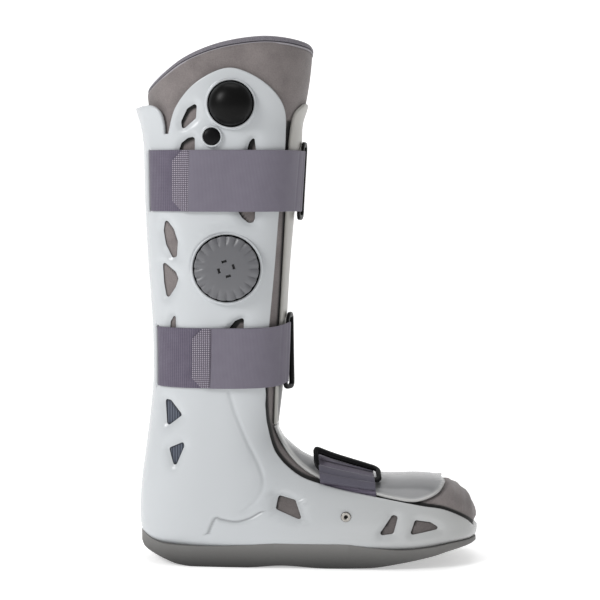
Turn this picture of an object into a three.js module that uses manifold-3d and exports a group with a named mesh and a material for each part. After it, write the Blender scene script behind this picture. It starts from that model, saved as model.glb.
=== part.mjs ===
// A tall medical walking boot, in millimetres: +X to the toes, +Z up, near side at -Y.
// The origin is on the floor, under the middle of the leg, on the flat of the heel.
import * as THREE from 'three';
import { mergeVertices } from 'three/addons/utils/BufferGeometryUtils.js';
import Module from 'manifold-3d';

const wasm = await Module();
wasm.setup();

// Driving dimensions of the boot's outer form
const boot_top = 440;
const ankle_height = 148;
const calf_depth = 132;
const calf_width = 122;
const foot_length = 290;
const heel_share = 0.2431;
const heel_back = heel_share * foot_length;
const foot_height = 120;
const ball_width = 106;
const around = 20;

// Walls and clearances
const shell_wall = 3;
const panel_wall = 2.5;
const liner_wall = 5.7;
const binding_height = 6.5;
const binding_proud = 0.2;
const gap = 0.4;
const split_gap = 1.2;
const wing_flare = 7.3;
const flare_start_up = 0.68;
const flare_full_up = 0.8;
const fuse = 0.2;

// Straps and the loops that they turn back through
const strap_width = 50;
const strap_wall = 1.8;
const tab_wall = 1.6;
const ring_bar = 3.6;
const ring_wall = 3;
const ring_margin = 1;
const ring_reach = 18;
const toe_strap_width = 46;
const toe_flap_rise = 7;
const tab_chamfer = 8;

// Controls and fasteners
const bulb_radius = 18.3;
const bulb_height = 15;
const bulb_lip = 2.2;
const button_radius = 6.7;
const button_height = 4.4;
const button_travel = 1.5;
const collar_wall = 1.4;
const dial_radius = 27;
const dial_height = 9;
const dial_lip = 2.4;
const dial_grips = 20;
const dial_grip_depth = 0.9;
const spindle_radius = 4;
const seat_depth = 1;
const boss_root = 12;
const collar_rise = 4;
const bulb_sides = 24;
const button_sides = 18;
const dial_sides = 28;
const pin_sides = 12;
const rivet_head = 4.2;
const rivet_shank = 1.9;
const rivet_head_height = 1.3;

// Rubber sole
const sole_proud = 1.4;
const sole_edge = 3;

const leg_height = boot_top - ankle_height;
const wide = 200;

// Ribs of the leg, level lines from back to front. Shares: up of the leg's height,
// back and front of the calf's depth, side of half the calf's width, mid of the rib's length.
// round_back and round_front are the powers of the rounded corners.
const leg_ribs = [
  { up: 1.06, back: -0.467, front: 0.63, side: 1.092, mid: 0.5, round_back: 2.4, round_front: 2.8 },
  { up: 0.914, back: -0.479, front: 0.595, side: 1.049, mid: 0.5, round_back: 2.4, round_front: 2.8 },
  { up: 0.822, back: -0.487, front: 0.562, side: 1.016, mid: 0.5, round_back: 2.4, round_front: 2.8 },
  { up: 0.76, back: -0.491, front: 0.522, side: 0.997, mid: 0.5, round_back: 2.4, round_front: 2.9 },
  { up: 0.692, back: -0.494, front: 0.512, side: 0.98, mid: 0.5, round_back: 2.4, round_front: 3 },
  { up: 0.51, back: -0.486, front: 0.469, side: 0.934, mid: 0.5, round_back: 2.4, round_front: 3 },
  { up: 0.349, back: -0.469, front: 0.438, side: 0.885, mid: 0.5, round_back: 2.4, round_front: 3 },
  { up: 0.212, back: -0.449, front: 0.42, side: 0.836, mid: 0.5, round_back: 2.4, round_front: 3 },
  { up: 0.092, back: -0.442, front: 0.404, side: 0.795, mid: 0.5, round_back: 2.4, round_front: 2.9 },
  { up: 0, back: -0.448, front: 0.392, side: 0.77, mid: 0.5, round_back: 2.4, round_front: 2.8 },
];

// Ribs of the foot, fanned round the ankle and then upright. Shares: low and top are the rib's
// ends, along the foot's length and of its height, and side is of half the ball's width.
// nose says how far the side faces the toes: 0 is square to the foot, 1 straight ahead.
// Rows: low_x, low_z, top_x, top_z, side, mid, round_low, round_top, nose
const foot_ribs = [
  [0.029, 1, 0.414, 1.075, 0.868, 0.5, 2.4, 2.6, 0],
  [0.016, 0.767, 0.41, 0.954, 0.858, 0.49, 2.4, 2.5, 0],
  [0.004, 0.55, 0.426, 0.879, 0.849, 0.48, 2.4, 2.4, 0],
  [0, 0.375, 0.45, 0.821, 0.84, 0.47, 2.4, 2.4, 0],
  [0.003, 0.233, 0.478, 0.767, 0.83, 0.46, 2.4, 2.3, 0],
  [0.026, 0.13, 0.505, 0.732, 0.83, 0.45, 2.4, 2.3, 0],
  [0.08, 0.095, 0.533, 0.708, 0.84, 0.44, 2.6, 2.3, 0],
  [0.157, 0.085, 0.567, 0.683, 0.85, 0.42, 3.2, 2.3, 0],
  [0.416, 0.108, 0.65, 0.636, 0.906, 0.36, 4.5, 2.3, 0],
  [0.553, 0.125, 0.698, 0.611, 0.953, 0.35, 5, 2.3, 0],
  [0.778, 0.105, 0.812, 0.607, 1, 0.35, 5, 2.3, 0.05],
  [0.847, 0.125, 0.864, 0.6, 0.972, 0.35, 5, 2.3, 0.26],
  [0.898, 0.145, 0.907, 0.579, 0.896, 0.35, 4.6, 2.3, 0.48],
  [0.936, 0.155, 0.941, 0.54, 0.774, 0.35, 4.2, 2.3, 0.68],
  [0.964, 0.162, 0.969, 0.487, 0.623, 0.35, 3.6, 2.3, 0.83],
  [0.981, 0.168, 0.988, 0.417, 0.434, 0.4, 3, 2.3, 0.94],
  [0.99, 0.175, 0.998, 0.346, 0.226, 0.45, 2.6, 2.3, 0.99],
];

// The sole's upright sections. Shares: along the foot's length, floor and rim of the foot's
// height, side of half the ball's width.
const sole_sections = [
  { along: 0.006, floor: 0.13, rim: 0.225, side: 0.16 },
  { along: 0.0155, floor: 0.104, rim: 0.21, side: 0.3 },
  { along: 0.041, floor: 0.076, rim: 0.175, side: 0.47 },
  { along: 0.08, floor: 0.04, rim: 0.152, side: 0.61 },
  { along: 0.118, floor: 0.01, rim: 0.148, side: 0.67 },
  { along: 0.16, floor: 0, rim: 0.147, side: 0.73 },
  { along: 0.31, floor: 0, rim: 0.16, side: 0.81 },
  { along: 0.42, floor: 0.016, rim: 0.184, side: 0.845 },
  { along: 0.545, floor: 0, rim: 0.196, side: 0.885 },
  { along: 0.665, floor: 0.008, rim: 0.157, side: 0.945 },
  { along: 0.76, floor: 0.045, rim: 0.141, side: 0.99 },
  { along: 0.85, floor: 0.09, rim: 0.157, side: 0.955 },
  { along: 0.9, floor: 0.12, rim: 0.175, side: 0.86 },
  { along: 0.945, floor: 0.138, rim: 0.182, side: 0.69 },
  { along: 0.972, floor: 0.146, rim: 0.182, side: 0.5 },
  { along: 0.986, floor: 0.152, rim: 0.182, side: 0.34 },
];

// Side outlines on the leg: across is the share of the rib from back to front, up of the leg
const wing_edge = [
  { across: 0.06, up: 0.808 },
  { across: 0.115, up: 0.79 },
  { across: 0.145, up: 0.755 },
  { across: 0.15, up: 0.728 },
];
const lobe_edge = [
  { across: 0.175, up: 0.729 },
  { across: 0.213, up: 0.8 },
  { across: 0.321, up: 0.867 },
  { across: 0.496, up: 0.908 },
  { across: 0.611, up: 0.898 },
  { across: 0.774, up: 0.852 },
  { across: 0.866, up: 0.8 },
  { across: 0.902, up: 0.72 },
  { across: 0.902, up: 0.5 },
  { across: 0.9, up: 0.359 },
  { across: 0.881, up: 0.189 },
  { across: 0.868, up: 0.03 },
];
const shin_edge = [
  { across: 0.975, up: 0.812 },
  { across: 0.94, up: 0.785 },
  { across: 0.931, up: 0.72 },
  { across: 0.953, up: 0.504 },
  { across: 0.962, up: 0.24 },
  { across: 0.955, up: 0.01 },
];
const liner_top = [
  { across: -0.1, up: 0.83 },
  { across: 0.02, up: 0.838 },
  { across: 0.05, up: 0.864 },
  { across: 0.148, up: 0.908 },
  { across: 0.25, up: 0.943 },
  { across: 0.437, up: 0.98 },
  { across: 0.665, up: 1 },
  { across: 0.8, up: 0.997 },
  { across: 0.915, up: 0.984 },
  { across: 0.985, up: 0.966 },
  { across: 1.1, up: 0.95 },
];

// Side outlines on the foot: along the foot's length, high of its height
const rim_edge = [
  { along: 0.374, high: 1.121 },
  { along: 0.379, high: 0.992 },
  { along: 0.404, high: 0.793 },
  { along: 0.466, high: 0.643 },
  { along: 0.558, high: 0.564 },
  { along: 0.681, high: 0.504 },
  { along: 0.819, high: 0.446 },
  { along: 0.889, high: 0.414 },
  { along: 0.955, high: 0.329 },
  { along: 0.985, high: 0.245 },
];
const plate_edge = [
  { along: 0.401, high: 0.966 },
  { along: 0.416, high: 0.881 },
  { along: 0.464, high: 0.718 },
  { along: 0.534, high: 0.611 },
  { along: 0.64, high: 0.547 },
  { along: 0.729, high: 0.492 },
  { along: 0.805, high: 0.472 },
  { along: 0.87, high: 0.522 },
  { along: 0.897, high: 0.575 },
];

// Windows through the shell's sides, as corners on the leg and on the foot
const leg_windows = [
  [[0.146, 0.492], [0.221, 0.424], [0.221, 0.391], [0.185, 0.388], [0.135, 0.442]],
  [[0.117, 0.369], [0.213, 0.333], [0.215, 0.312], [0.127, 0.265]],
  [[0.187, 0.225], [0.183, 0.14], [0.134, 0.14], [0.144, 0.198]],
  [[0.63, 0.53], [0.746, 0.53], [0.745, 0.49], [0.715, 0.478]],
  [[0.566, 0.17], [0.634, 0.203], [0.701, 0.214], [0.702, 0.15]],
  [[0.328, 0.808], [0.34, 0.776], [0.255, 0.744], [0.265, 0.766]],
  [[0.335, 0.715], [0.34, 0.67], [0.238, 0.67], [0.262, 0.701]],
  [[0.716, 0.72], [0.736, 0.67], [0.669, 0.67], [0.687, 0.705]],
];
const foot_windows = [
  [[0.078, 1.177], [0.096, 1.17], [0.131, 1.072], [0.084, 0.985]],
  [[0.134, 0.885], [0.137, 0.855], [0.107, 0.698], [0.09, 0.839]],
  [[0.412, 0.515], [0.46, 0.48], [0.48, 0.33], [0.403, 0.415]],
  [[0.736, 0.386], [0.752, 0.376], [0.739, 0.246], [0.695, 0.228]],
  [[0.801, 0.349], [0.846, 0.331], [0.877, 0.28], [0.786, 0.233]],
];

// Places of the straps and controls
const upper_strap_up = 0.598;
const lower_strap_up = 0.0986;
const slot_across = 0.045;
const slot_width = 3.4;
const toe_strap_along = 0.612;
const toe_strap_lean = 0.08;
const toe_ring_far = -9;
const toe_anchor_high = 0.31;
const leg_ring_far = -6;
const bulb_place = { across: 0.544, up: 0.81 };
const button_place = { across: 0.45, up: 0.72 };
const dial_place = { across: 0.57, up: 0.353 };
const rivet_place = { along: 0.603, high: 0.37 };
const upper_tab_place = { from: 0.218, to: 0.312 };
const lower_tab_place = { from: 0.328, to: 0.452 };

// Ribs as points, from the top of the leg to the tip of the toes
function ribTable() {
  const leg = leg_ribs.map((rib) => ({
    low: [rib.back * calf_depth, ankle_height + rib.up * leg_height],
    top: [rib.front * calf_depth, ankle_height + rib.up * leg_height],
    side: (rib.side * calf_width) / 2,
    mid: rib.mid,
    round_low: rib.round_back,
    round_top: rib.round_front,
    nose: 0,
  }));
  const foot = foot_ribs.map(([low_x, low_z, top_x, top_z, side, mid, round_low, round_top, nose]) => ({
    low: [low_x * foot_length - heel_back, low_z * foot_height],
    top: [top_x * foot_length - heel_back, top_z * foot_height],
    side: (side * ball_width) / 2,
    mid,
    round_low,
    round_top,
    nose,
  }));
  return leg.concat(foot);
}
const ribs = ribTable();

// Unit normal of the path that one end of the ribs follows, pointing into the boot
function inward(end, index) {
  const before = ribs[Math.max(index - 1, 0)][end];
  const after = ribs[Math.min(index + 1, ribs.length - 1)][end];
  const run = Math.hypot(after[0] - before[0], after[1] - before[1]);
  const turn = end === 'low' ? 1 : -1;
  return [(-turn * (after[1] - before[1])) / run, (turn * (after[0] - before[0])) / run];
}

// How far back the shell's collar flares at a height, rising to wing_flare at its top
function flareAt(z) {
  const start = ankle_height + flare_start_up * leg_height;
  const end = ankle_height + flare_full_up * leg_height;
  const share = Math.min(Math.max((z - start) / (end - start), 0), 1);
  return wing_flare * share * share;
}

// One closed rib section, drawn in by inset (out if it is negative): superellipse halves
function section(index, inset, flare) {
  const rib = ribs[index];
  const [low_in_x, low_in_z] = inward('low', index);
  const low_in = [low_in_x - rib.nose * rib.nose, low_in_z];
  const top_in = inward('top', index);
  const back_shift = flare ? flareAt(rib.low[1]) : 0;
  const low = [rib.low[0] + low_in[0] * inset, rib.low[1] + low_in[1] * inset];
  const top = [rib.top[0] + top_in[0] * inset, rib.top[1] + top_in[1] * inset];
  const side = rib.side - inset * Math.sqrt(1 - rib.nose * rib.nose);
  const points = [];
  for (let step = 0; step < around; step += 1) {
    const angle = (2 * Math.PI * step) / around;
    const along = Math.cos(angle);
    const across = Math.sin(angle);
    const power = 2 / (along > 0 ? rib.round_low : rib.round_top);
    const reach = Math.pow(Math.abs(along), power);
    const share = along > 0 ? rib.mid * (1 - reach) : rib.mid + (1 - rib.mid) * reach;
    const y = Math.sign(across) * side * Math.pow(Math.abs(across), power);
    const x = low[0] + (top[0] - low[0]) * share - (along > 0 ? back_shift * reach : 0);
    points.push([x, y, low[1] + (top[1] - low[1]) * share]);
  }
  return points;
}

// Closed skin over rings of points, with a fan at each end
function skin(rings) {
  const count = rings[0].length;
  const positions = rings.flat(2);
  const index = [];
  for (let row = 0; row < rings.length - 1; row += 1) {
    for (let step = 0; step < count; step += 1) {
      const next = (step + 1) % count;
      const a = row * count + step;
      const b = row * count + next;
      index.push(a, b, b + count, a, b + count, a + count);
    }
  }
  for (const [row, flip] of [[0, true], [rings.length - 1, false]]) {
    const centre = positions.length / 3;
    const middle = [0, 1, 2].map((axis) => rings[row].reduce((sum, p) => sum + p[axis], 0) / count);
    positions.push(...middle);
    for (let step = 0; step < count; step += 1) {
      const pair = [row * count + step, row * count + ((step + 1) % count)];
      index.push(centre, ...(flip ? pair.reverse() : pair));
    }
  }
  const geometry = new THREE.BufferGeometry();
  geometry.setAttribute('position', new THREE.Float32BufferAttribute(positions, 3));
  geometry.setIndex(index);
  return geometry;
}

// Geometry to solid and back, for joins and cuts
function solid(geometry) {
  const bare = geometry.clone();
  bare.deleteAttribute('normal');
  bare.deleteAttribute('uv');
  const merged = mergeVertices(bare, 1e-4);
  const vertProperties = Float32Array.from(merged.attributes.position.array);
  const triVerts = Uint32Array.from(merged.index.array);
  const result = new wasm.Manifold(new wasm.Mesh({ numProp: 3, vertProperties, triVerts }));
  if (result.volume() < 0) {
    throw new Error('a solid is inside out');
  }
  return result;
}

function meshOf(name, shape, material) {
  const data = shape.getMesh();
  const geometry = new THREE.BufferGeometry();
  geometry.setAttribute('position', new THREE.Float32BufferAttribute(data.vertProperties, 3));
  geometry.setIndex(Array.from(data.triVerts));
  geometry.computeVertexNormals();
  const mesh = new THREE.Mesh(geometry, material);
  mesh.name = name;
  return mesh;
}

// The boot's form as a solid, drawn in by inset
function form(inset, flare = false) {
  return solid(skin(ribs.map((rib, index) => section(index, inset, flare))));
}

// Wall between two insets
function wall(outer, inner, flare = false) {
  return form(outer, flare).subtract(form(inner, flare));
}

// Side outline pushed across the boot, from one y to another
function prism(points, from = -wide, to = wide) {
  const shape = new THREE.Shape(points.map(([x, z]) => new THREE.Vector2(x, z)));
  const geometry = new THREE.ExtrudeGeometry(shape, { depth: to - from, bevelEnabled: false });
  geometry.rotateX(Math.PI / 2);
  geometry.translate(0, to, 0);
  return solid(geometry);
}

// Round bar along Y
function roundBar(x, z, radius, from, to, sides = 32) {
  const geometry = new THREE.CylinderGeometry(radius, radius, to - from, sides);
  geometry.translate(x, (from + to) / 2, z);
  return solid(geometry);
}

// Rib values at a height on the leg
function legAt(up) {
  let row = 1;
  while (row < leg_ribs.length - 1 && leg_ribs[row].up > up) {
    row += 1;
  }
  const above = leg_ribs[row - 1];
  const below = leg_ribs[row];
  const share = (up - below.up) / (above.up - below.up);
  return {
    back: calf_depth * (below.back + (above.back - below.back) * share),
    front: calf_depth * (below.front + (above.front - below.front) * share),
    side: (calf_width / 2) * (below.side + (above.side - below.side) * share),
  };
}

function legPoint(across, up) {
  const { back, front } = legAt(up);
  return [back + across * (front - back), ankle_height + up * leg_height];
}

function footPoint(along, high) {
  return [along * foot_length - heel_back, high * foot_height];
}

// Half width of the leg's outer form at a place on it, with one power for front and back
const side_power = 2.6;

function legSide(across, up) {
  const reach = Math.abs(across - 0.5) / 0.5;
  return legAt(up).side * Math.pow(1 - Math.pow(reach, side_power), 1 / side_power);
}

// Smooth line through chosen points
function smooth(points, steps) {
  const curve = new THREE.SplineCurve(points.map(([x, z]) => new THREE.Vector2(x, z)));
  return curve.getPoints(steps).map((point) => [point.x, point.y]);
}

const onLeg = (rows) => rows.map(({ across, up }) => legPoint(across, up));
const onFoot = (rows) => rows.map(({ along, high }) => footPoint(along, high));

// Shapes that several pieces share
const far_x = foot_length + calf_depth;
const far_z = boot_top + foot_height;
const rim_line = smooth(onFoot(rim_edge), 16);
const plate_line = smooth(onFoot(plate_edge), 14);
const toe_tip = rim_line[rim_line.length - 1];

const bulb_at = legPoint(bulb_place.across, bulb_place.up);
const button_at = legPoint(button_place.across, button_place.up);
const dial_at = legPoint(dial_place.across, dial_place.up);
const rivet_at = footPoint(rivet_place.along, rivet_place.high);
const bulb_floor = seat_depth - legSide(bulb_place.across, bulb_place.up);
const button_floor = seat_depth - legSide(button_place.across, button_place.up);
const dial_floor = seat_depth - legSide(dial_place.across, dial_place.up);

// Strap places on the leg: a level band, and the slot that it enters at the back
function band(centre_up, extra = 0) {
  const z = ankle_height + centre_up * leg_height;
  const half = strap_width / 2 + extra;
  return { z, low: z - half, high: z + half };
}

function slotX(centre_up) {
  const { back, front } = legAt(centre_up);
  return back + slot_across * (front - back);
}

function slotPrism(centre_up, clearance) {
  const { low, high } = band(centre_up, clearance);
  const x = slotX(centre_up);
  const half = slot_width / 2 - (gap - clearance);
  return prism([[x - half, low], [x + half, low], [x + half, high], [x - half, high]]);
}

// White shell: calf back, side lobes, ankle, heel and tray
function rearShell() {
  const keep = [[-far_x, legPoint(0, 0.808)[1]]];
  keep.push(...smooth(onLeg(wing_edge), 5));
  keep.push(...smooth(onLeg(lobe_edge), 20));
  keep.push(...rim_line);
  keep.push([far_x, toe_tip[1]], [far_x, -far_z], [-far_x, -far_z]);
  let shell = wall(0, shell_wall, true).intersect(prism(keep));
  const boss = (place, radius, rise, floor, sides) =>
    roundBar(...place, radius, floor - rise, floor + boss_root, sides);
  const bosses = [
    boss(bulb_at, bulb_radius + bulb_lip, seat_depth + bulb_lip, bulb_floor, bulb_sides),
    boss(button_at, button_radius + gap + collar_wall, collar_rise, button_floor, button_sides),
    boss(dial_at, dial_radius + gap + dial_lip, seat_depth + dial_lip, dial_floor, dial_sides),
  ];
  const hollow = form(shell_wall, true);
  for (const one of bosses) {
    shell = shell.add(one.subtract(hollow));
  }
  shell = shell.subtract(roundBar(...bulb_at, bulb_radius + gap, -wide, bulb_floor, bulb_sides));
  shell = shell.subtract(roundBar(...button_at, button_radius + gap, -wide, button_floor, button_sides));
  shell = shell.subtract(roundBar(...dial_at, dial_radius + gap, -wide, dial_floor, dial_sides));
  const spindle_end = dial_floor - dial_height / 2;
  const spindle = roundBar(...dial_at, spindle_radius, spindle_end, dial_floor + seat_depth, pin_sides);
  shell = shell.add(spindle);
  for (const corners of leg_windows) {
    shell = shell.subtract(prism(corners.map(([across, up]) => legPoint(across, up))));
  }
  for (const corners of foot_windows) {
    shell = shell.subtract(prism(corners.map(([along, high]) => footPoint(along, high))));
  }
  shell = shell.subtract(slotPrism(upper_strap_up, gap)).subtract(slotPrism(lower_strap_up, gap));
  return shell.subtract(roundBar(...rivet_at, rivet_shank + gap, -wide, wide, pin_sides));
}

// White plate over the shin, down to the ankle's bend
function shinPanel() {
  const edge = smooth(onLeg(shin_edge), 9);
  const foot = footPoint(plate_edge[0].along, plate_edge[0].high);
  edge.push([foot[0], foot[1] + split_gap]);
  edge.push([far_x, foot[1] + split_gap]);
  edge.push([far_x, legPoint(1, 0.822)[1]]);
  return wall(0, panel_wall).intersect(prism(edge));
}

// Tongue plate over the instep
function footPanel() {
  return wall(0, panel_wall).intersect(plateArea(0));
}

// Padded liner: open at the top, closed at the toes
function linerBelow(drop) {
  const top = smooth(onLeg(liner_top), 16).map(([x, z]) => [x, z - drop]);
  const end = top[top.length - 1][1];
  return prism([[-far_x, top[0][1]], ...top, [far_x, end], [far_x, -far_z], [-far_x, -far_z]]);
}

const liner_out = shell_wall + gap;
const liner_in = liner_out + liner_wall;

function linerBinding() {
  const strip = linerBelow(0).subtract(linerBelow(binding_height));
  return wall(liner_out - binding_proud, liner_in + binding_proud).intersect(strip);
}

const strap_seat = -gap;
const strap_top = strap_seat - strap_wall;
const ring_seat = strap_top - gap;
const ring_top = ring_seat - ring_wall;

// Strap turned round a loop's bar that lies between two places across the boot
function foldRound(area, from, to) {
  const cap = wall(ring_top - gap - strap_wall, strap_top + fuse);
  const room = wall(ring_top - gap, strap_top);
  const strap = cap.intersect(area(0, from - gap - strap_wall, to + gap + strap_wall));
  return strap.subtract(room.intersect(area(1, from - gap, to + gap)));
}

// Black loop: bars across and along the strap, with the window that it passes
function loop(area, near, far) {
  const frame = wall(ring_top, ring_seat).intersect(area(ring_margin + ring_bar, near, far));
  return frame.subtract(area(ring_margin, near + ring_bar, far - ring_bar));
}

// Level strap round the leg, with the layer that comes back from the loop
function legArea(centre_up) {
  return (extra, from, to) => {
    const { low, high } = band(centre_up, extra);
    return prism([[0, low], [far_x, low], [far_x, high], [0, high]], from, to);
  };
}

const leg_ring_near = leg_ring_far - ring_reach;

function legStrap(centre_up, tab) {
  const { low, high } = band(centre_up);
  const area = legArea(centre_up);
  const slot_x = slotX(centre_up) - slot_width / 2 + gap;
  const tab_x = legPoint(tab.to, centre_up)[0] + gap;
  const reach = prism([[slot_x, low], [far_x, low], [far_x, high], [slot_x, high]]);
  const back_layer = prism(
    [[tab_x, low], [far_x, low], [far_x, high], [tab_x, high]], -wide, leg_ring_near - gap - fuse,
  );
  const through_slot = form(strap_top).subtract(form(shell_wall - gap)).intersect(slotPrism(centre_up, 0));
  return wall(strap_top, strap_seat)
    .intersect(reach)
    .add(wall(strap_top - strap_wall, strap_top + fuse).intersect(back_layer))
    .add(foldRound(area, leg_ring_near, leg_ring_near + ring_bar))
    .add(foldRound(area, leg_ring_far - ring_bar, leg_ring_far))
    .add(through_slot);
}

// Hook tab at the end of the layer that comes back
function hookTab(centre_up, tab) {
  const { low, high } = band(centre_up);
  const from = legPoint(tab.from, centre_up)[0];
  const to = legPoint(tab.to, centre_up)[0];
  const cut = tab_chamfer;
  const outline = [[from, low + cut], [from + cut, low], [to, low], [to, high]];
  outline.push([from + cut, high], [from, high - cut]);
  return wall(ring_seat - tab_wall, ring_seat).intersect(prism(outline, -wide, 0));
}

// Toe strap: a skewed band over the foot
function toeBand(extra, low, high, from = -wide, to = wide) {
  const centre = footPoint(toe_strap_along, 0)[0];
  const half = toe_strap_width / 2 + extra;
  const lean = (z) => centre - toe_strap_lean * (z - foot_height / 2);
  return prism(
    [[lean(low) - half, low], [lean(low) + half, low], [lean(high) + half, high], [lean(high) - half, high]],
    from,
    to,
  );
}

const toeArea = (extra, from, to) => toeBand(extra, foot_height / 3, foot_height, from, to);
const toe_ring_near = toe_ring_far - ring_reach;

function aboveRim(clearance) {
  const low = rim_line.map(([x, z]) => [x, z + clearance]);
  return prism([...low, [far_x, low[low.length - 1][1]], [far_x, far_z], [low[0][0], far_z]]);
}

// Side area of the tongue plate, grown by a clearance
function plateArea(clearance) {
  const edge = plate_line.map(([x, z]) => [x, z - clearance]);
  const end = plate_line[plate_line.length - 1];
  const foot = plate_line[0];
  return prism([...edge, [end[0] + clearance, foot[1]]]);
}

// The strap's ends, in between the plate and the shell's rim and down inside the shell
function toeTuck(grow) {
  const deep = shell_wall + gap + strap_wall + grow;
  const low = toe_anchor_high * foot_height - grow;
  const inside = wall(shell_wall + gap - grow, deep).intersect(toeBand(grow, low, foot_height));
  const above = aboveRim(gap - grow).intersect(toeBand(grow, 0, foot_height));
  const across = wall(strap_top, deep).intersect(above);
  return inside.add(across).subtract(plateArea(gap - grow));
}

function toeStrap() {
  const over = wall(strap_top, strap_seat).intersect(toeArea(0, -wide, wide)).intersect(aboveRim(gap));
  const flap = wall(strap_top - strap_wall, strap_top + fuse)
    .intersect(toeArea(0, -wide, toe_ring_near - gap - fuse))
    .intersect(aboveRim(toe_flap_rise));
  return over
    .add(toeTuck(0))
    .add(flap)
    .add(foldRound(toeArea, toe_ring_near, toe_ring_near + ring_bar))
    .add(foldRound(toeArea, toe_ring_far - ring_bar, toe_ring_far))
    .subtract(roundBar(...rivet_at, rivet_shank + gap, -wide, wide, pin_sides));
}

function liner() {
  return wall(liner_out, liner_in).intersect(linerBelow(binding_height + gap)).subtract(toeTuck(gap));
}

// Sole: upright sections, hollowed where the shell sits in it
function sole() {
  const rings = sole_sections.map(({ along, floor, rim, side }) => {
    const [x, low] = footPoint(along, floor);
    const high = rim * foot_height;
    const half = (side * ball_width) / 2 + sole_proud;
    const edge = Math.min(sole_edge, (high - low) / 2, half / 2);
    return [
      [x, -half + edge, low], [x, half - edge, low], [x, half, low + edge],
      [x, half, high], [x, -half, high], [x, -half, low + edge],
    ];
  });
  return solid(skin(rings)).subtract(form(-gap));
}

// Turned piece on the near side, its axis along -Y: rows of radius and height above its seat
function turned(place, seat, profile, sides) {
  const points = profile.map(([radius, height]) => new THREE.Vector2(radius, height));
  const geometry = new THREE.LatheGeometry(points, sides);
  geometry.rotateX(Math.PI);
  geometry.translate(place[0], seat, place[1]);
  return solid(geometry);
}

function bulb() {
  const profile = [[0, 0], [bulb_radius, 0], [bulb_radius, bulb_lip]];
  const steps = 5;
  for (let step = 1; step <= steps; step += 1) {
    const angle = (Math.PI / 2) * (step / steps);
    const rise = bulb_lip + (bulb_height - bulb_lip) * Math.sin(angle);
    profile.push([step === steps ? 0 : bulb_radius * Math.cos(angle), rise]);
  }
  return turned(bulb_at, bulb_floor - gap, profile, bulb_sides);
}

function button() {
  const edge = 1;
  const profile = [[0, 0], [button_radius, 0], [button_radius, button_height - edge]];
  profile.push([button_radius - edge, button_height - edge / 3], [0, button_height]);
  return turned(button_at, button_floor - gap - button_travel, profile, button_sides);
}

// Selector knob: a disc with grips round its rim, on the shell's spindle
function dial() {
  const shape = new THREE.Shape();
  const steps = dial_grips * 2;
  for (let step = 0; step < steps; step += 1) {
    const angle = (2 * Math.PI * step) / steps;
    const radius = dial_radius - (step % 2 ? 0 : dial_grip_depth);
    const point = [radius * Math.cos(angle), radius * Math.sin(angle)];
    if (step === 0) {
      shape.moveTo(...point);
    } else {
      shape.lineTo(...point);
    }
  }
  const geometry = new THREE.ExtrudeGeometry(shape, { depth: dial_height, bevelEnabled: false });
  geometry.rotateX(Math.PI / 2);
  geometry.translate(dial_at[0], dial_floor - gap, dial_at[1]);
  const bore_end = dial_floor - gap - dial_height / 2;
  const bore = roundBar(...dial_at, spindle_radius + gap, bore_end, dial_floor + seat_depth, pin_sides);
  return solid(geometry).subtract(bore);
}

// Strap rivet: a head outside the shell and a shank through it, on the side that sign gives
function rivet(sign) {
  const outer = footSide(...rivet_at);
  const deep = outer - shell_wall - gap - strap_wall;
  const seat = outer + gap / 2;
  const head = roundBar(...rivet_at, rivet_head, -seat - rivet_head_height, -seat, button_sides);
  const shank = roundBar(...rivet_at, rivet_shank, -seat - rivet_head_height / 2, -deep, pin_sides);
  const whole = head.add(shank);
  return sign < 0 ? whole : whole.mirror([0, 1, 0]);
}

// Half width of the foot's outer form at a side point: the furthest of its facets there
function footSide(x, z) {
  const reach = rivet_head;
  const probe = form(0).intersect(
    prism([[x - reach, z - reach], [x + reach, z - reach], [x + reach, z + reach], [x - reach, z + reach]]),
  );
  return probe.boundingBox().max[1];
}

// Finishes
function finish(color, roughness, metalness = 0) {
  return new THREE.MeshStandardMaterial({ color, roughness, metalness });
}
const white_shell = finish('#d3d8dd', 0.35);
const glossy_plate = finish('#c9cdd1', 0.2);
const liner_cloth = finish('#9a9092', 0.95);
const binding_cloth = finish('#8d8794', 0.9);
const webbing = finish('#77707f', 0.85);
const hook_grid = finish('#8a8392', 0.8);
const black_plastic = finish('#1b1b1c', 0.4);
const black_rubber = finish('#242322', 0.75);
const grey_plastic = finish('#7c7c80', 0.5);
const sole_rubber = finish('#7d7c7a', 0.8);
const rivet_metal = finish('#a9a49a', 0.35, 1);

const boot = new THREE.Group();
boot.add(
  meshOf('rear_shell', rearShell(), white_shell),
  meshOf('shin_panel', shinPanel(), white_shell),
  meshOf('foot_panel', footPanel(), glossy_plate),
  meshOf('liner', liner(), liner_cloth),
  meshOf('liner_binding', linerBinding(), binding_cloth),
  meshOf('sole', sole(), sole_rubber),
  meshOf('upper_strap', legStrap(upper_strap_up, upper_tab_place), webbing),
  meshOf('upper_tab', hookTab(upper_strap_up, upper_tab_place), hook_grid),
  meshOf('upper_ring', loop(legArea(upper_strap_up), leg_ring_near, leg_ring_far), black_plastic),
  meshOf('lower_strap', legStrap(lower_strap_up, lower_tab_place), webbing),
  meshOf('lower_tab', hookTab(lower_strap_up, lower_tab_place), hook_grid),
  meshOf('lower_ring', loop(legArea(lower_strap_up), leg_ring_near, leg_ring_far), black_plastic),
  meshOf('toe_strap', toeStrap(), webbing),
  meshOf('toe_ring', loop(toeArea, toe_ring_near, toe_ring_far), black_plastic),
  meshOf('pump_bulb', bulb(), black_rubber),
  meshOf('release_button', button(), black_plastic),
  meshOf('dial', dial(), grey_plastic),
  meshOf('rivet_near', rivet(-1), rivet_metal),
  meshOf('rivet_far', rivet(1), rivet_metal),
);

export default boot;
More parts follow.
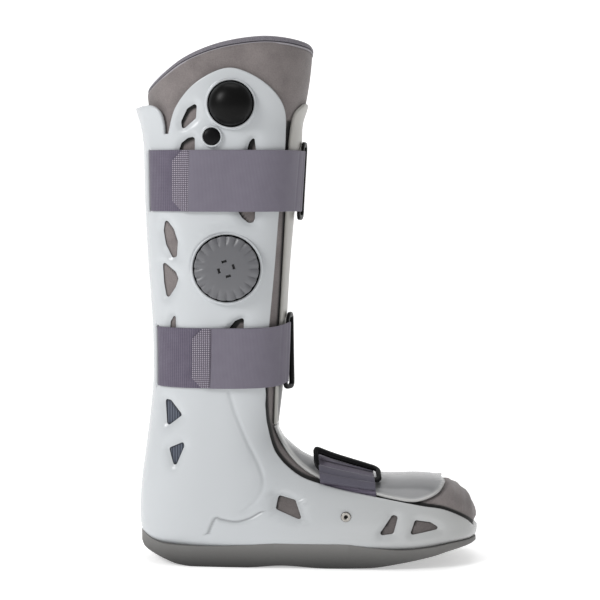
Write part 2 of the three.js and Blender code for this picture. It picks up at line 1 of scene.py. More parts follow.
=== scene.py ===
# %% [markdown]
# # A tall walking boot
# The boot is a stiff plastic shell round a padded liner, closed by three straps. Every piece here
# is a surface worked out with numpy from one form: the outside of the boot, described by ribs.
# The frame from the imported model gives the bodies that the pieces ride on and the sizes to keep.
# Lengths are in millimetres here, and become metres when a mesh is made.

import bmesh
import bpy
import numpy as np
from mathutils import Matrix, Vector
from mathutils.geometry import delaunay_2d_cdt
from mathutils.kdtree import KDTree


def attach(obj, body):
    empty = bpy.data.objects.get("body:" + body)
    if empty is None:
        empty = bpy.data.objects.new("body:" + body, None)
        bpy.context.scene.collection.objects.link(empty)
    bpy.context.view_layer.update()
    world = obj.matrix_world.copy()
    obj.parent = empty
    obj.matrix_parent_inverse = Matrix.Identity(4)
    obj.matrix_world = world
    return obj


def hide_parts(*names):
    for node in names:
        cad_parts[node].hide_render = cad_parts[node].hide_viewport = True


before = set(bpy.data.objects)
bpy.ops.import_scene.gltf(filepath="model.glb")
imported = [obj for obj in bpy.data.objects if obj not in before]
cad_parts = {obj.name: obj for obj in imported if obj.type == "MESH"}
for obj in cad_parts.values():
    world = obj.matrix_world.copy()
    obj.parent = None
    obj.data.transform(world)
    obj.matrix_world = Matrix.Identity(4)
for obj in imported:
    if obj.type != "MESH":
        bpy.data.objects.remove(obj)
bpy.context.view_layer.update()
MM = 0.001

# %% [markdown]
# ## Camera, floor and light
# The photo is a level product shot from a little above, on white. A long lens keeps the sides
# nearly parallel. The camera stands where the strap edges and the rings line up with the photo.

# %% The camera
CAMERA_PLACE = (0.0663, -1.370, 0.3216)
CAMERA_DOWN = 4.19
FOCAL_PIXELS = 1612.0
PHOTO_PIXELS = 600.0
SENSOR = 36.0

lens = bpy.data.cameras.new("camera")
lens.sensor_width = SENSOR
lens.lens = SENSOR * FOCAL_PIXELS / PHOTO_PIXELS
camera = bpy.data.objects.new("camera", lens)
camera.location = CAMERA_PLACE
camera.rotation_euler = (np.radians(90 - CAMERA_DOWN), 0, 0)
bpy.context.scene.collection.objects.link(camera)
bpy.context.scene.camera = camera
print("camera at", CAMERA_PLACE, "with a lens of", round(lens.lens, 1), "mm")


# %% [markdown]
# ### Floor and lights
# A product shot stands on white paper that curves up behind it. That could be a plane in a white
# world, but a sweep keeps the soft shadow under the sole and shows no line where it ends. It glows
# a little by itself, so that it comes out white while the boot keeps its greys. Two square lights
# give the broad, soft highlights of a studio.

# %% The floor
def sweep(name, half_width, near, far, height, radius, steps=24):
    """A floor that turns up into a backdrop: a straight run, a quarter circle, a straight wall."""
    turn = np.linspace(0, np.pi / 2, steps)
    y = np.concatenate([[near], far - radius + radius * np.sin(turn), [far]])
    z = np.concatenate([[0], radius * (1 - np.cos(turn)), [height]])
    x = np.array([-half_width, half_width])
    grid = np.stack([np.repeat(x, len(y)), np.tile(y, 2), np.tile(z, 2)], 1)
    n = len(y)
    faces = [(i, n + i, n + i + 1, i + 1) for i in range(n - 1)]
    mesh = bpy.data.meshes.new(name)
    mesh.from_pydata(grid.tolist(), [], faces)
    mesh.polygons.foreach_set("use_smooth", [True] * len(faces))
    obj = bpy.data.objects.new(name, mesh)
    bpy.context.scene.collection.objects.link(obj)
    return obj


FLOOR_TONE = (0.93, 0.93, 0.93, 1)
FLOOR_GLOW = 0.42
WHITE = (1, 1, 1, 1)
floor = sweep("floor", half_width=4.0, near=-4.0, far=2.4, height=4.0, radius=1.0)
floor_finish = bpy.data.materials.new("floor_white")
floor_finish.use_nodes = True
floor_shader = floor_finish.node_tree.nodes["Principled BSDF"]
floor_shader.inputs["Base Color"].default_value = FLOOR_TONE
floor_shader.inputs["Emission Color"].default_value = WHITE
floor_shader.inputs["Emission Strength"].default_value = FLOOR_GLOW
floor_shader.inputs["Roughness"].default_value = 0.9
floor.data.materials.append(floor_finish)

# %% The world: white to the camera, and a dimmer light on the boot
AMBIENT = 0.42
world = bpy.data.worlds.new("studio")
world.use_nodes = True
world.node_tree.nodes["Background"].inputs["Color"].default_value = WHITE
seen_by = world.node_tree.nodes.new("ShaderNodeLightPath")
brightness = world.node_tree.nodes.new("ShaderNodeMapRange")
brightness.inputs["To Min"].default_value = AMBIENT
world.node_tree.links.new(seen_by.outputs["Is Camera Ray"], brightness.inputs["Value"])
world.node_tree.links.new(brightness.outputs[0], world.node_tree.nodes["Background"].inputs["Strength"])
bpy.context.scene.world = world


# %% The lights
def softbox(name, place, aim, size, power):
    """A square area light at a place, turned to face its aim."""
    data = bpy.data.lights.new(name, "AREA")
    data.size = size
    data.energy = power
    lamp = bpy.data.objects.new(name, data)
    lamp.location = place
    lamp.rotation_euler = (Vector(aim) - Vector(place)).to_track_quat("-Z", "Y").to_euler()
    bpy.context.scene.collection.objects.link(lamp)


softbox("key", place=(-1.15, -1.15, 1.2), aim=(0, 0, 0.22), size=0.6, power=19)
softbox("top", place=(0.1, 0.2, 2.1), aim=(0, 0, 0.2), size=1.2, power=9)
bpy.context.scene.view_settings.view_transform = "Standard"

# %% [markdown]
# ## The boot's form
# The real boot is a leaning oval tube for the leg and a low one for the foot, with a round heel
# and toe. Two lofts could make them, but then the ankle needs a blend. Here one row of ribs does
# it: level lines across the leg, from the back to the front, that fan round the heel and stand up
# along the foot. Round each rib goes a rounded oval. Every later piece is laid on this form, so
# they all fit each other. The tables hold shares of a few real sizes, the same as in the part.

# %% Sizes, in millimetres
BOOT_TOP = 440.0
ANKLE_HEIGHT = 148.0
CALF_DEPTH = 132.0
CALF_WIDTH = 122.0
FOOT_LENGTH = 290.0
HEEL_BACK = 70.5
FOOT_HEIGHT = 120.0
BALL_WIDTH = 106.0
LEG_HEIGHT = BOOT_TOP - ANKLE_HEIGHT

WING_FLARE = 7.3
FLARE_START = ANKLE_HEIGHT + 0.68 * LEG_HEIGHT
FLARE_FULL = ANKLE_HEIGHT + 0.80 * LEG_HEIGHT

SHELL_WALL = 3.0
PANEL_WALL = 2.5
LINER_WALL = 5.7
GAP = 0.4
LINER_OUT = SHELL_WALL + GAP
LINER_IN = LINER_OUT + LINER_WALL

# %% Rib tables
# Columns: up, back, front, side, mid, round_back, round_front
LEG_RIBS = np.array([
    (1.060, -0.467, 0.630, 1.092, 0.50, 2.4, 2.8),
    (0.914, -0.479, 0.595, 1.049, 0.50, 2.4, 2.8),
    (0.822, -0.487, 0.562, 1.016, 0.50, 2.4, 2.8),
    (0.760, -0.491, 0.522, 0.997, 0.50, 2.4, 2.9),
    (0.692, -0.494, 0.512, 0.980, 0.50, 2.4, 3.0),
    (0.510, -0.486, 0.469, 0.934, 0.50, 2.4, 3.0),
    (0.349, -0.469, 0.438, 0.885, 0.50, 2.4, 3.0),
    (0.212, -0.449, 0.420, 0.836, 0.50, 2.4, 3.0),
    (0.092, -0.442, 0.404, 0.795, 0.50, 2.4, 2.9),
    (0.000, -0.448, 0.392, 0.770, 0.50, 2.4, 2.8),
])
# Columns: low_x, low_z, top_x, top_z, side, mid, round_low, round_top, nose
FOOT_RIBS = np.array([
    (0.029, 1.000, 0.414, 1.075, 0.868, 0.50, 2.4, 2.6, 0),
    (0.016, 0.767, 0.410, 0.954, 0.858, 0.49, 2.4, 2.5, 0),
    (0.004, 0.550, 0.426, 0.879, 0.849, 0.48, 2.4, 2.4, 0),
    (0.000, 0.375, 0.450, 0.821, 0.840, 0.47, 2.4, 2.4, 0),
    (0.003, 0.233, 0.478, 0.767, 0.830, 0.46, 2.4, 2.3, 0),
    (0.026, 0.130, 0.505, 0.732, 0.830, 0.45, 2.4, 2.3, 0),
    (0.080, 0.095, 0.533, 0.708, 0.840, 0.44, 2.6, 2.3, 0),
    (0.157, 0.085, 0.567, 0.683, 0.850, 0.42, 3.2, 2.3, 0),
    (0.278, 0.090, 0.605, 0.661, 0.868, 0.38, 4.0, 2.3, 0),
    (0.416, 0.108, 0.650, 0.636, 0.906, 0.36, 4.5, 2.3, 0),
    (0.553, 0.125, 0.698, 0.611, 0.953, 0.35, 5.0, 2.3, 0),
    (0.674, 0.105, 0.753, 0.604, 0.990, 0.35, 5.0, 2.3, 0),
    (0.778, 0.105, 0.812, 0.607, 1.000, 0.35, 5.0, 2.3, 0.05),
    (0.847, 0.125, 0.864, 0.600, 0.972, 0.35, 5.0, 2.3, 0.26),
    (0.898, 0.145, 0.907, 0.579, 0.896, 0.35, 4.6, 2.3, 0.48),
    (0.936, 0.155, 0.941, 0.540, 0.774, 0.35, 4.2, 2.3, 0.68),
    (0.964, 0.162, 0.969, 0.487, 0.623, 0.35, 3.6, 2.3, 0.83),
    (0.981, 0.168, 0.988, 0.417, 0.434, 0.40, 3.0, 2.3, 0.94),
    (0.990, 0.175, 0.998, 0.346, 0.226, 0.45, 2.6, 2.3, 0.99),
    (0.994, 0.190, 0.9995, 0.300, 0.0, 0.50, 2.3, 2.3, 1.0),
])


# %% One array of ribs, and the smooth run between them
def rib_array():
    """Ribs in millimetres: low x z, top x z, half width, mid, the two roundings, nose.

    Each is its row's share times the leg's or the foot's own length, height or width.
    """
    height = ANKLE_HEIGHT + LEG_RIBS[:, 0] * LEG_HEIGHT
    leg = np.stack([
        LEG_RIBS[:, 1] * CALF_DEPTH, height, LEG_RIBS[:, 2] * CALF_DEPTH, height,
        LEG_RIBS[:, 3] * CALF_WIDTH / 2, LEG_RIBS[:, 4], LEG_RIBS[:, 5], LEG_RIBS[:, 6],
        np.zeros(len(LEG_RIBS)),
    ], 1)
    foot = FOOT_RIBS.copy()
    foot[:, [0, 2]] = foot[:, [0, 2]] * FOOT_LENGTH - HEEL_BACK
    foot[:, [1, 3]] *= FOOT_HEIGHT
    foot[:, 4] *= BALL_WIDTH / 2
    return np.concatenate([leg, foot])


RIBS = rib_array()
LAST = len(RIBS) - 1.0


def rib_at(t):
    """The ribs joined by a Catmull-Rom curve: t counts ribs from the leg's top to the toes."""
    t = np.clip(t, 0, LAST - 1e-6)
    i = np.floor(t).astype(int)
    f = (t - i)[..., None]
    p0, p1 = RIBS[np.maximum(i - 1, 0)], RIBS[i]
    p2, p3 = RIBS[i + 1], RIBS[np.minimum(i + 2, len(RIBS) - 1)]
    return 0.5 * (
        2 * p1 + (p2 - p0) * f
        + (2 * p0 - 5 * p1 + 4 * p2 - p3) * f**2
        + (3 * p1 - p0 - 3 * p2 + p3) * f**3
    )


def flare_at(z):
    """How far the back of the shell's collar stands out at a height: the square of its rise."""
    return WING_FLARE * np.clip((z - FLARE_START) / (FLARE_FULL - FLARE_START), 0, 1) ** 2


# %% A point of the form from a rib and an angle
PATH_STEP = 0.02
NO_WIDTH = 1e-6


def form(t, angle, inset=0.0, flared=False):
    """A point of the boot's form: rib t, and an angle round it, 0 at its low end and pi at its top.

    Each half is a superellipse drawn by its polar angle, so it has no bunched points. inset
    draws it in along the normals of the paths that the ribs' ends follow. A positive angle is
    the near side, at -Y. flared pushes the back half of the collar outwards.
    """
    t, angle = np.broadcast_arrays(np.asarray(t, float), np.asarray(angle, float))
    rib = rib_at(t)
    path = rib_at(t + PATH_STEP) - rib_at(t - PATH_STEP)
    low_run = np.hypot(path[..., 0], path[..., 1]) + 1e-9
    top_run = np.hypot(path[..., 2], path[..., 3]) + 1e-9
    nose = np.clip(rib[..., 8], 0, 1)
    low_x = rib[..., 0] + inset * (-path[..., 1] / low_run - nose**2)
    low_z = rib[..., 1] + inset * path[..., 0] / low_run
    top_x = rib[..., 2] + inset * path[..., 3] / top_run
    top_z = rib[..., 3] - inset * path[..., 2] / top_run
    side = np.maximum(rib[..., 4] - inset * np.sqrt(1 - nose**2), 0) * (rib[..., 4] > NO_WIDTH)
    cos, sin = np.cos(angle), np.sin(angle)
    low_half = cos > 0
    power = np.where(low_half, rib[..., 6], rib[..., 7])
    reach = (np.abs(cos) ** power + np.abs(sin) ** power) ** (-1 / power)
    mid = rib[..., 5]
    share = np.where(low_half, mid * (1 - reach * cos), mid + (1 - mid) * reach * -cos)
    back = np.where(low_half, reach * cos, 0) * flare_at(rib[..., 1]) if flared else 0
    x = low_x + (top_x - low_x) * share - back
    z = low_z + (top_z - low_z) * share
    return np.stack([x, -side * reach * sin, z], -1)


# %% [markdown]
# ### From the side view back to the form
# Windows, edges and creases are read from a photo taken from the side, so they are drawn as side
# points. To lay them on the boot, each needs the rib that passes through it and the angle round
# that rib. Halving finds the rib, because a point always lies below the ribs before it.

# %% Finding a side point's rib and angle
def rib_through(x, z, rounds=44):
    """The rib that passes through a side point, by halving: the point lies below earlier ribs."""
    low, high = np.zeros_like(x), np.full_like(x, LAST)
    for _ in range(rounds):
        t = (low + high) / 2
        r = rib_at(t)
        below = (r[..., 2] - r[..., 0]) * (z - r[..., 1]) < (r[..., 3] - r[..., 1]) * (x - r[..., 0])
        low, high = np.where(below, t, low), np.where(below, high, t)
    return (low + high) / 2


def place_on_form(x, z, flared=False):
    """Rib and angle of the near side's point that is seen at x, z from the side.

    The share of the way along the rib gives one leg of the oval's angle, and the oval's own
    formula, one power of a side plus one of the other equals 1, gives the second leg.
    """
    x, z = np.asarray(x, float), np.asarray(z, float)
    t = rib_through(x, z)
    r = rib_at(t)
    dx, dz = r[..., 2] - r[..., 0], r[..., 3] - r[..., 1]
    share = ((x - r[..., 0]) * dx + (z - r[..., 1]) * dz) / (dx**2 + dz**2)
    mid = r[..., 5]
    low_half = share < mid
    out = flare_at(r[..., 1]) / np.hypot(dx, dz) if flared else 0
    u = np.clip(np.where(low_half, (mid - share) / (mid + out), (share - mid) / (1 - mid)), 0, 1)
    power = np.where(low_half, r[..., 6], r[..., 7])
    v = np.maximum(1 - u**power, 0) ** (1 / power)
    angle = np.arctan2(v, u)
    return t, np.where(low_half, angle, np.pi - angle)


# %% Side points from shares, and smooth lines through them
def leg_point(across, up):
    """Side point on the leg: across is the share of the level rib, up of the leg's height."""
    across, up = np.asarray(across, float), np.asarray(up, float)
    back = np.interp(up, LEG_RIBS[::-1, 0], LEG_RIBS[::-1, 1]) * CALF_DEPTH
    front = np.interp(up, LEG_RIBS[::-1, 0], LEG_RIBS[::-1, 2]) * CALF_DEPTH
    return np.stack([back + across * (front - back), ANKLE_HEIGHT + up * LEG_HEIGHT], -1)


def foot_point(along, high):
    """Side point on the foot, as shares of its length and height."""
    along, high = np.asarray(along, float), np.asarray(high, float)
    return np.stack([along * FOOT_LENGTH - HEEL_BACK, high * FOOT_HEIGHT], -1)


def evenly(line, steps, closed=False):
    """Points an even distance apart along a line, by its running length."""
    run = np.concatenate([[0], np.cumsum(np.hypot(*np.diff(line, axis=0).T))])
    even = np.linspace(0, run[-1], steps(run[-1]), endpoint=not closed)
    return np.stack([np.interp(even, run, line[:, 0]), np.interp(even, run, line[:, 1])], 1)


def smooth_line(points, step=1.6):
    """A centripetal Catmull-Rom curve through chosen points, cut into even steps.

    Each stretch is three blends of its four nearest points, weighted by how far it has run
    between knots that are the square roots of the distances apart.
    """
    points = np.asarray(points, float)
    ends = np.concatenate([[2 * points[0] - points[1]], points, [2 * points[-1] - points[-2]]])
    knots = np.concatenate([[0], np.cumsum(np.hypot(*np.diff(ends, axis=0).T) ** 0.5)])
    fine = []
    for i in range(1, len(points)):
        u = np.linspace(knots[i], knots[i + 1], 30, endpoint=False)[:, None]
        k, p = knots[i - 1:i + 3], ends[i - 1:i + 3]
        a = [((k[j + 1] - u) * p[j] + (u - k[j]) * p[j + 1]) / (k[j + 1] - k[j]) for j in range(3)]
        b = [((k[j + 2] - u) * a[j] + (u - k[j]) * a[j + 1]) / (k[j + 2] - k[j]) for j in range(2)]
        fine.append(((k[2] - u) * b[0] + (u - k[1]) * b[1]) / (k[2] - k[1]))
    return evenly(np.concatenate(fine + [points[-1:]]), lambda length: max(int(length / step), 2) + 1)


def rounded(corners, radius, step=1.3):
    """A closed outline with straight sides and arcs at its corners.

    At each corner the arc starts a cut's length away, the radius over the tangent of half the
    corner's angle, and its middle lies on the line that halves the corner.
    """
    corners = np.asarray(corners, float)
    before, after = np.roll(corners, 1, 0) - corners, np.roll(corners, -1, 0) - corners
    line = []
    for c, b, a in zip(corners, before, after):
        lb, la = np.hypot(*b), np.hypot(*a)
        b, a = b / lb, a / la
        half = np.arccos(np.clip(b @ a, -1, 1)) / 2
        cut = min(radius / np.tan(half), 0.42 * lb, 0.42 * la)
        r = cut * np.tan(half)
        middle = c + (a + b) / np.hypot(*(a + b)) * r / np.sin(half)
        start, end = c + b * cut - middle, c + a * cut - middle
        turn = np.arctan2(start[0] * end[1] - start[1] * end[0], start @ end)
        arc = np.linspace(0, turn, 7)[:, None]
        side = np.array([-start[1], start[0]])
        line.append(middle + start * np.cos(arc) + side * np.sin(arc))
    loop = np.concatenate(line + [line[0][:1]])
    return evenly(loop, lambda length: max(int(length / step), 8), closed=True)


print("ribs:", len(RIBS), "toe tip at", form(LAST, 0.0)[0].round(1), "mm")


# %% [markdown]
# ## From arrays to meshes
# A grid of points becomes quads, and a trimmed sheet becomes triangles from a Delaunay net.
# Blender's own primitives could be pushed into shape, but whole arrays are quicker and exact.
# Both kinds end as one object at the origin, with its place in its mesh.

# %% Mesh helpers
MERGE = 1e-6


def cleaned(mesh, merge=MERGE):
    """Points nearer than merge made one, flat faces dissolved, and every face turned outwards."""
    net = bmesh.new()
    net.from_mesh(mesh)
    if merge:
        bmesh.ops.remove_doubles(net, verts=net.verts, dist=merge)
        bmesh.ops.dissolve_degenerate(net, edges=net.edges, dist=merge)
    bmesh.ops.recalc_face_normals(net, faces=net.faces)
    net.to_mesh(mesh)
    net.free()


def new_piece(name, points, faces, finish, slot, body="boot", nodes=(), merge=MERGE, gap=None):
    """Millimetre points and faces as an object that rides on a body and stands for CAD nodes.

    The last argument is painted shade for every point, kept in the mesh for the finish to read.
    """
    mesh = bpy.data.meshes.new(name)
    mesh.from_pydata((np.asarray(points) * MM).tolist(), [], [tuple(map(int, f)) for f in faces])
    if gap is not None:
        mesh.attributes.new("gap", "FLOAT", "POINT").data.foreach_set("value", gap.astype(np.float32))
    cleaned(mesh, merge)
    mesh.polygons.foreach_set("use_smooth", [True] * len(mesh.polygons))
    obj = bpy.data.objects.new(name, mesh)
    bpy.context.scene.collection.objects.link(obj)
    mesh.materials.append(finish)
    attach(obj, body)
    if nodes:
        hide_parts(*nodes)
    print(name, len(mesh.polygons), "faces")
    return obj


def grid_faces(rows, columns, wrap=False):
    """Quads of a grid of points stored row by row; wrap joins the last column to the first."""
    last = columns if wrap else columns - 1
    i, j = np.meshgrid(np.arange(rows - 1), np.arange(last), indexing="ij")
    here, below = i * columns, (i + 1) * columns
    k = (j + 1) % columns
    return np.stack([here + j, here + k, below + k, below + j], -1).reshape(-1, 4)


def tube_piece(name, loops, cap=True, **options):
    """Closed loops of points joined one after another: loops is rows by points by 3."""
    rows, columns, _ = loops.shape
    points = loops.reshape(-1, 3)
    faces = grid_faces(rows, columns, wrap=True).tolist()
    if cap:
        faces.append(list(range(columns)))
        faces.append(list(range((rows - 1) * columns, rows * columns))[::-1])
    return new_piece(name, points, faces, **options)


def paint(obj, name, values_of):
    """A number at every point of a mesh: values_of takes the points, in millimetres."""
    co = np.zeros(len(obj.data.vertices) * 3)
    obj.data.vertices.foreach_get("co", co)
    layer = obj.data.attributes.get(name) or obj.data.attributes.new(name, "FLOAT", "POINT")
    layer.data.foreach_set("value", values_of(co.reshape(-1, 3) / MM).astype(np.float32))


# %% [markdown]
# ## Trimmed sheets
# The shell and the plates are moulded sheets with free outlines and windows. They could be cut
# from the form with booleans, but those leave ragged triangles just where the light shows an
# edge. So their outlines are drawn in the side view and laid on the form, and a Delaunay net fills
# them in the form's own two parameters. Every point then gets its depth from its distance to the
# nearest edge, so that the edges are rounded over and the windows have a moulded bevel.

# %% The flat chart of the form
AROUND = 165.0
LEAST_RUN = 3.0
EDGE_BANDS = (0.5, 1.1, 2.0, 3.4)
CREASE_STEPS = (-3.4, -2.2, -1.3, -0.6, 0.0, 0.6, 1.3, 2.2, 3.4)
MIDDLES = (RIBS[:, :2] + RIBS[:, 2:4]) / 2
RIB_RUN = np.concatenate([[0], np.cumsum(np.maximum(np.hypot(*np.diff(MIDDLES, axis=0).T), LEAST_RUN))])


def to_chart(t, angle):
    """Rib and angle as a flat place: half a turn is AROUND wide, ribs lie their run apart."""
    return np.stack([angle / np.pi * AROUND, np.interp(t, np.arange(len(RIBS)), RIB_RUN)], -1)


def from_chart(chart):
    """A flat place as rib and angle."""
    return np.interp(chart[:, 1], RIB_RUN, np.arange(len(RIBS))), chart[:, 0] / AROUND * np.pi


# %% Distances and tests on side points
def inside(points, polygon, chunk=4000):
    """Even-odd test of many points against one polygon: a level ray crosses its sides oddly."""
    x0, y0 = polygon[:, 0], polygon[:, 1]
    x1, y1 = np.roll(x0, -1), np.roll(y0, -1)
    slope = np.where(y1 == y0, 1, y1 - y0)
    found = []
    for at in range(0, len(points), chunk):
        x, y = points[at:at + chunk, None, 0], points[at:at + chunk, None, 1]
        crosses = (y0 > y) != (y1 > y)
        found.append((crosses & (x < x0 + (y - y0) * (x1 - x0) / slope)).sum(1) % 2 == 1)
    return np.concatenate(found) if found else np.zeros(0, bool)


def edge_distance(points, lines, chunk=2000):
    """Distance of points to the nearest of many segments, each met at its nearest share."""
    start = np.concatenate([line[:-1] for line in lines])
    run = np.concatenate([line[1:] for line in lines]) - start
    length = (run**2).sum(1) + 1e-12
    best = []
    for at in range(0, len(points), chunk):
        away = points[at:at + chunk, None] - start
        share = np.clip((away * run).sum(2) / length, 0, 1)
        best.append(np.sqrt(((away - share[..., None] * run) ** 2).sum(2)).min(1))
    return np.concatenate(best)


def shifted(line, distance, closed):
    """A side line moved sideways, to its left if the distance is positive."""
    if closed:
        run = np.roll(line, -1, 0) - np.roll(line, 1, 0)
    else:
        run = np.gradient(line, axis=0)
    run /= np.hypot(*run.T)[:, None] + 1e-9
    return line + distance * np.stack([-run[:, 1], run[:, 0]], 1)


def clear_of(points, others, room):
    """Which points have none of the others nearer than room."""
    tree = KDTree(len(others))
    for i, (x, y) in enumerate(others):
        tree.insert((x, y, 0), i)
    tree.balance()
    return np.array([tree.find((x, y, 0))[2] > room for x, y in points], bool)


def ring_edges(start, count):
    """Edges of a closed loop of points numbered from start."""
    i = np.arange(count)
    return start + np.stack([i, (i + 1) % count], 1)


# %% A trimmed sheet
CLEAR_OF_EDGE = 0.3
CLEAR_OF_NET = 0.62
ROW_SHARE = 0.9
ON_MIDDLE = 1e-6
NO_EDGE = 1e3


class Sheet:
    """A trimmed sheet on the near half of the form: its net, and distances to its edges.

    outline is an open side line from the mid-plane to the mid-plane, seam the chart points that
    close it there. windows get a bevel, and cuts don't. Points lie close together along creases.
    """

    def __init__(self, outline, seam, windows=(), cuts=(), creases=(), flared=False, spacing=3.4):
        """Edges and the lines near them, with a lattice of triangles between, as a Delaunay net."""
        holes = [*windows, *cuts]
        edge = to_chart(*place_on_form(*outline.T, flared))
        border = np.concatenate([edge, seam])
        loops = [to_chart(*place_on_form(*hole.T, flared)) for hole in holes]
        count, edges = len(border), [ring_edges(0, len(border))]
        for loop in loops:
            edges.append(ring_edges(count, len(loop)))
            count += len(loop)
        near = [shifted(outline, sign * band, False) for band in EDGE_BANDS for sign in (-1, 1)]
        near += [shifted(line, step, False) for line in creases for step in CREASE_STEPS]
        for hole in holes:
            near += [shifted(hole, sign * band, True) for band in EDGE_BANDS for sign in (-1, 1)]
        near = to_chart(*place_on_form(*np.concatenate(near).T, flared))
        low, high = border.min(0), border.max(0)
        rows = np.arange(low[1], high[1], spacing * ROW_SHARE)
        gx, gy = np.meshgrid(np.arange(low[0], high[0], spacing), rows)
        gx = gx + (np.arange(len(gx)) % 2)[:, None] * spacing / 2
        lattice = np.stack([gx.ravel(), gy.ravel()], 1)
        fixed = np.concatenate([border, *loops])
        near = near[clear_of(near, fixed, CLEAR_OF_EDGE)]
        lattice = lattice[clear_of(lattice, np.concatenate([fixed, near]), CLEAR_OF_NET * spacing)]
        free = np.concatenate([near, lattice])
        free = free[self.within(free, border, loops)]
        chart = np.concatenate([fixed, free])
        net = delaunay_2d_cdt([Vector(p) for p in chart], np.concatenate(edges).tolist(), [], 0, 1e-4)
        chart = np.array([tuple(p) for p in net[0]])
        faces = np.array(net[2])
        faces = faces[self.within(chart[faces].mean(1), border, loops)]
        used, back = np.unique(faces, return_inverse=True)
        self.faces = back.reshape(faces.shape)
        self.t, self.angle = from_chart(chart[used])
        self.flared = flared
        self.skin = form(self.t, self.angle, 0, flared)
        self.side = self.skin[:, [0, 2]]
        ends = [form(*from_chart(edge), 0, flared)]
        rims = [form(*from_chart(np.concatenate([loop, loop[:1]])), 0, flared) for loop in loops]
        self.to_outline = edge_distance(self.skin, ends)
        far = np.full(len(self.skin), NO_EDGE)
        self.to_window = edge_distance(self.skin, rims[:len(windows)]) if windows else far
        self.to_cut = edge_distance(self.skin, rims[len(windows):]) if cuts else far
        self.to_edge = np.minimum(np.minimum(self.to_outline, self.to_window), self.to_cut)

    @staticmethod
    def within(points, border, loops):
        """Which chart points lie inside the border and outside every hole."""
        keep = inside(points, border)
        for loop in loops:
            keep &= ~inside(points, loop)
        return keep

    def at(self, depth):
        """The sheet's points at a depth under the form's skin."""
        return form(self.t, self.angle, depth, self.flared)

    def wall_edges(self):
        """Edges that only one face has, apart from those on the boot's mid-plane."""
        pairs = np.concatenate([self.faces[:, [0, 1]], self.faces[:, [1, 2]], self.faces[:, [2, 0]]])
        _, first, count = np.unique(np.sort(pairs, 1), axis=0, return_index=True, return_counts=True)
        rim = pairs[first[count == 1]]
        flat = np.abs(self.skin[:, 1]) < ON_MIDDLE
        return rim[~(flat[rim[:, 0]] & flat[rim[:, 1]])]

    def half(self, sign, outer, inner, shade=0.0, dark=0.0):
        """One side of the boot: an outer and an inner skin with a wall along the rim.

        sign is -1 for the near side and 1 for the far one. outer and inner are points on the near
        side. shade and dark are the painted shade on the outer and the inner skin. Gives points, faces
        and painted shade.
        """
        rim = self.wall_edges()
        both = np.concatenate([outer, inner])
        both[np.tile(np.abs(self.skin[:, 1]) < ON_MIDDLE, 2), 1] = 0
        both[:, 1] *= -sign
        n = len(outer)
        walls = np.stack([rim[:, 1], rim[:, 0], rim[:, 0] + n, rim[:, 1] + n], 1)
        faces = [*self.faces.tolist(), *(self.faces[:, ::-1] + n).tolist(), *walls.tolist()]
        return both, faces, np.concatenate([np.broadcast_to(shade, n), np.broadcast_to(dark, n)])

    def solid(self, name, outer, inner, **options):
        """Both sides of the boot alike."""
        return joined(name, [self.half(sign, outer, inner) for sign in (-1, 1)], **options)


def joined(name, halves, **options):
    """Two sides of a sheet as one piece: the second's faces count on from the first's points."""
    count = len(halves[0][0])
    faces = halves[0][1] + [[i + count for i in face] for face in halves[1][1]]
    gap = np.concatenate([half[2] for half in halves])
    return new_piece(name, np.concatenate([half[0] for half in halves]), faces, gap=gap, **options)


# %% Reliefs worked out from a distance
def round_over(distance, radius):
    """How deep a rounded edge lies at a distance from the edge: a quarter circle."""
    share = np.clip(1 - distance / radius, 0, 1)
    return radius * (1 - np.sqrt(1 - share**2))


def ease(share):
    """A smooth step from 0 to 1: three times the share's square less twice its cube."""
    share = np.clip(share, 0, 1)
    return share * share * (3 - 2 * share)


def bell(distance, width):
    """A smooth bump of height 1: e to the power of minus the square of distance over width."""
    return np.exp(-((distance / width) ** 2))


def signed_side(points, line):
    """Distance of side points to an open line, positive on its left."""
    start, run = line[:-1], np.diff(line, axis=0)
    length = (run**2).sum(1) + 1e-12
    best = np.full(len(points), 1e9)
    sign = np.ones(len(points))
    for a, r, l in zip(start, run, length):
        away = points - a
        share = np.clip((away @ r) / l, 0, 1)
        gone = away - share[:, None] * r
        d = np.hypot(*gone.T)
        nearer = d < best
        best = np.where(nearer, d, best)
        sign = np.where(nearer, np.sign(r[0] * gone[:, 1] - r[1] * gone[:, 0]), sign)
    return best * np.where(sign == 0, 1, sign)


def sunk(points, polygon, width):
    """1 well inside a side polygon, 0 outside, eased over a width inside its edge."""
    closed = np.concatenate([polygon, polygon[:1]])
    depth = np.abs(signed_side(points, closed))
    return np.where(inside(points, polygon), ease(depth / width), 0)


# %% [markdown]
# ## Finishes
# The real boot has satin white mouldings, a glossy plate, black and grey controls, rubber, brushed
# cloth and woven webbing. Pictures could be painted for them, but each is plain enough for a small
# node tree: one principled shader, fine noise for the moulded plastic, and weaves worked out from
# the UV maps of the straps, in metres. Shade in narrow gaps, creases and hollows is painted, as a
# number kept at each of the mesh's points.

# %% Shader helpers
def finish(name, color, roughness, **values):
    """A principled material; values are more of its inputs by name, with _ for a space."""
    made = bpy.data.materials.new(name)
    made.use_nodes = True
    shader = made.node_tree.nodes["Principled BSDF"]
    shader.inputs["Base Color"].default_value = (*color, 1)
    shader.inputs["Roughness"].default_value = roughness
    for key, value in values.items():
        shader.inputs[key.replace("_", " ")].default_value = value
    return made


def node(tree, kind, settings=(), **inputs):
    """A node with its settings, its inputs set to values or linked to other nodes' outputs."""
    made = tree.nodes.new(kind)
    for key, value in dict(settings).items():
        setattr(made, key, value)
    for key, value in inputs.items():
        numbered = key[0] == "i" and key[1:].isdigit()
        slot = made.inputs[int(key[1:]) if numbered else key.replace("_", " ")]
        if isinstance(value, bpy.types.NodeSocket):
            tree.links.new(value, slot)
        else:
            slot.default_value = value
    return made


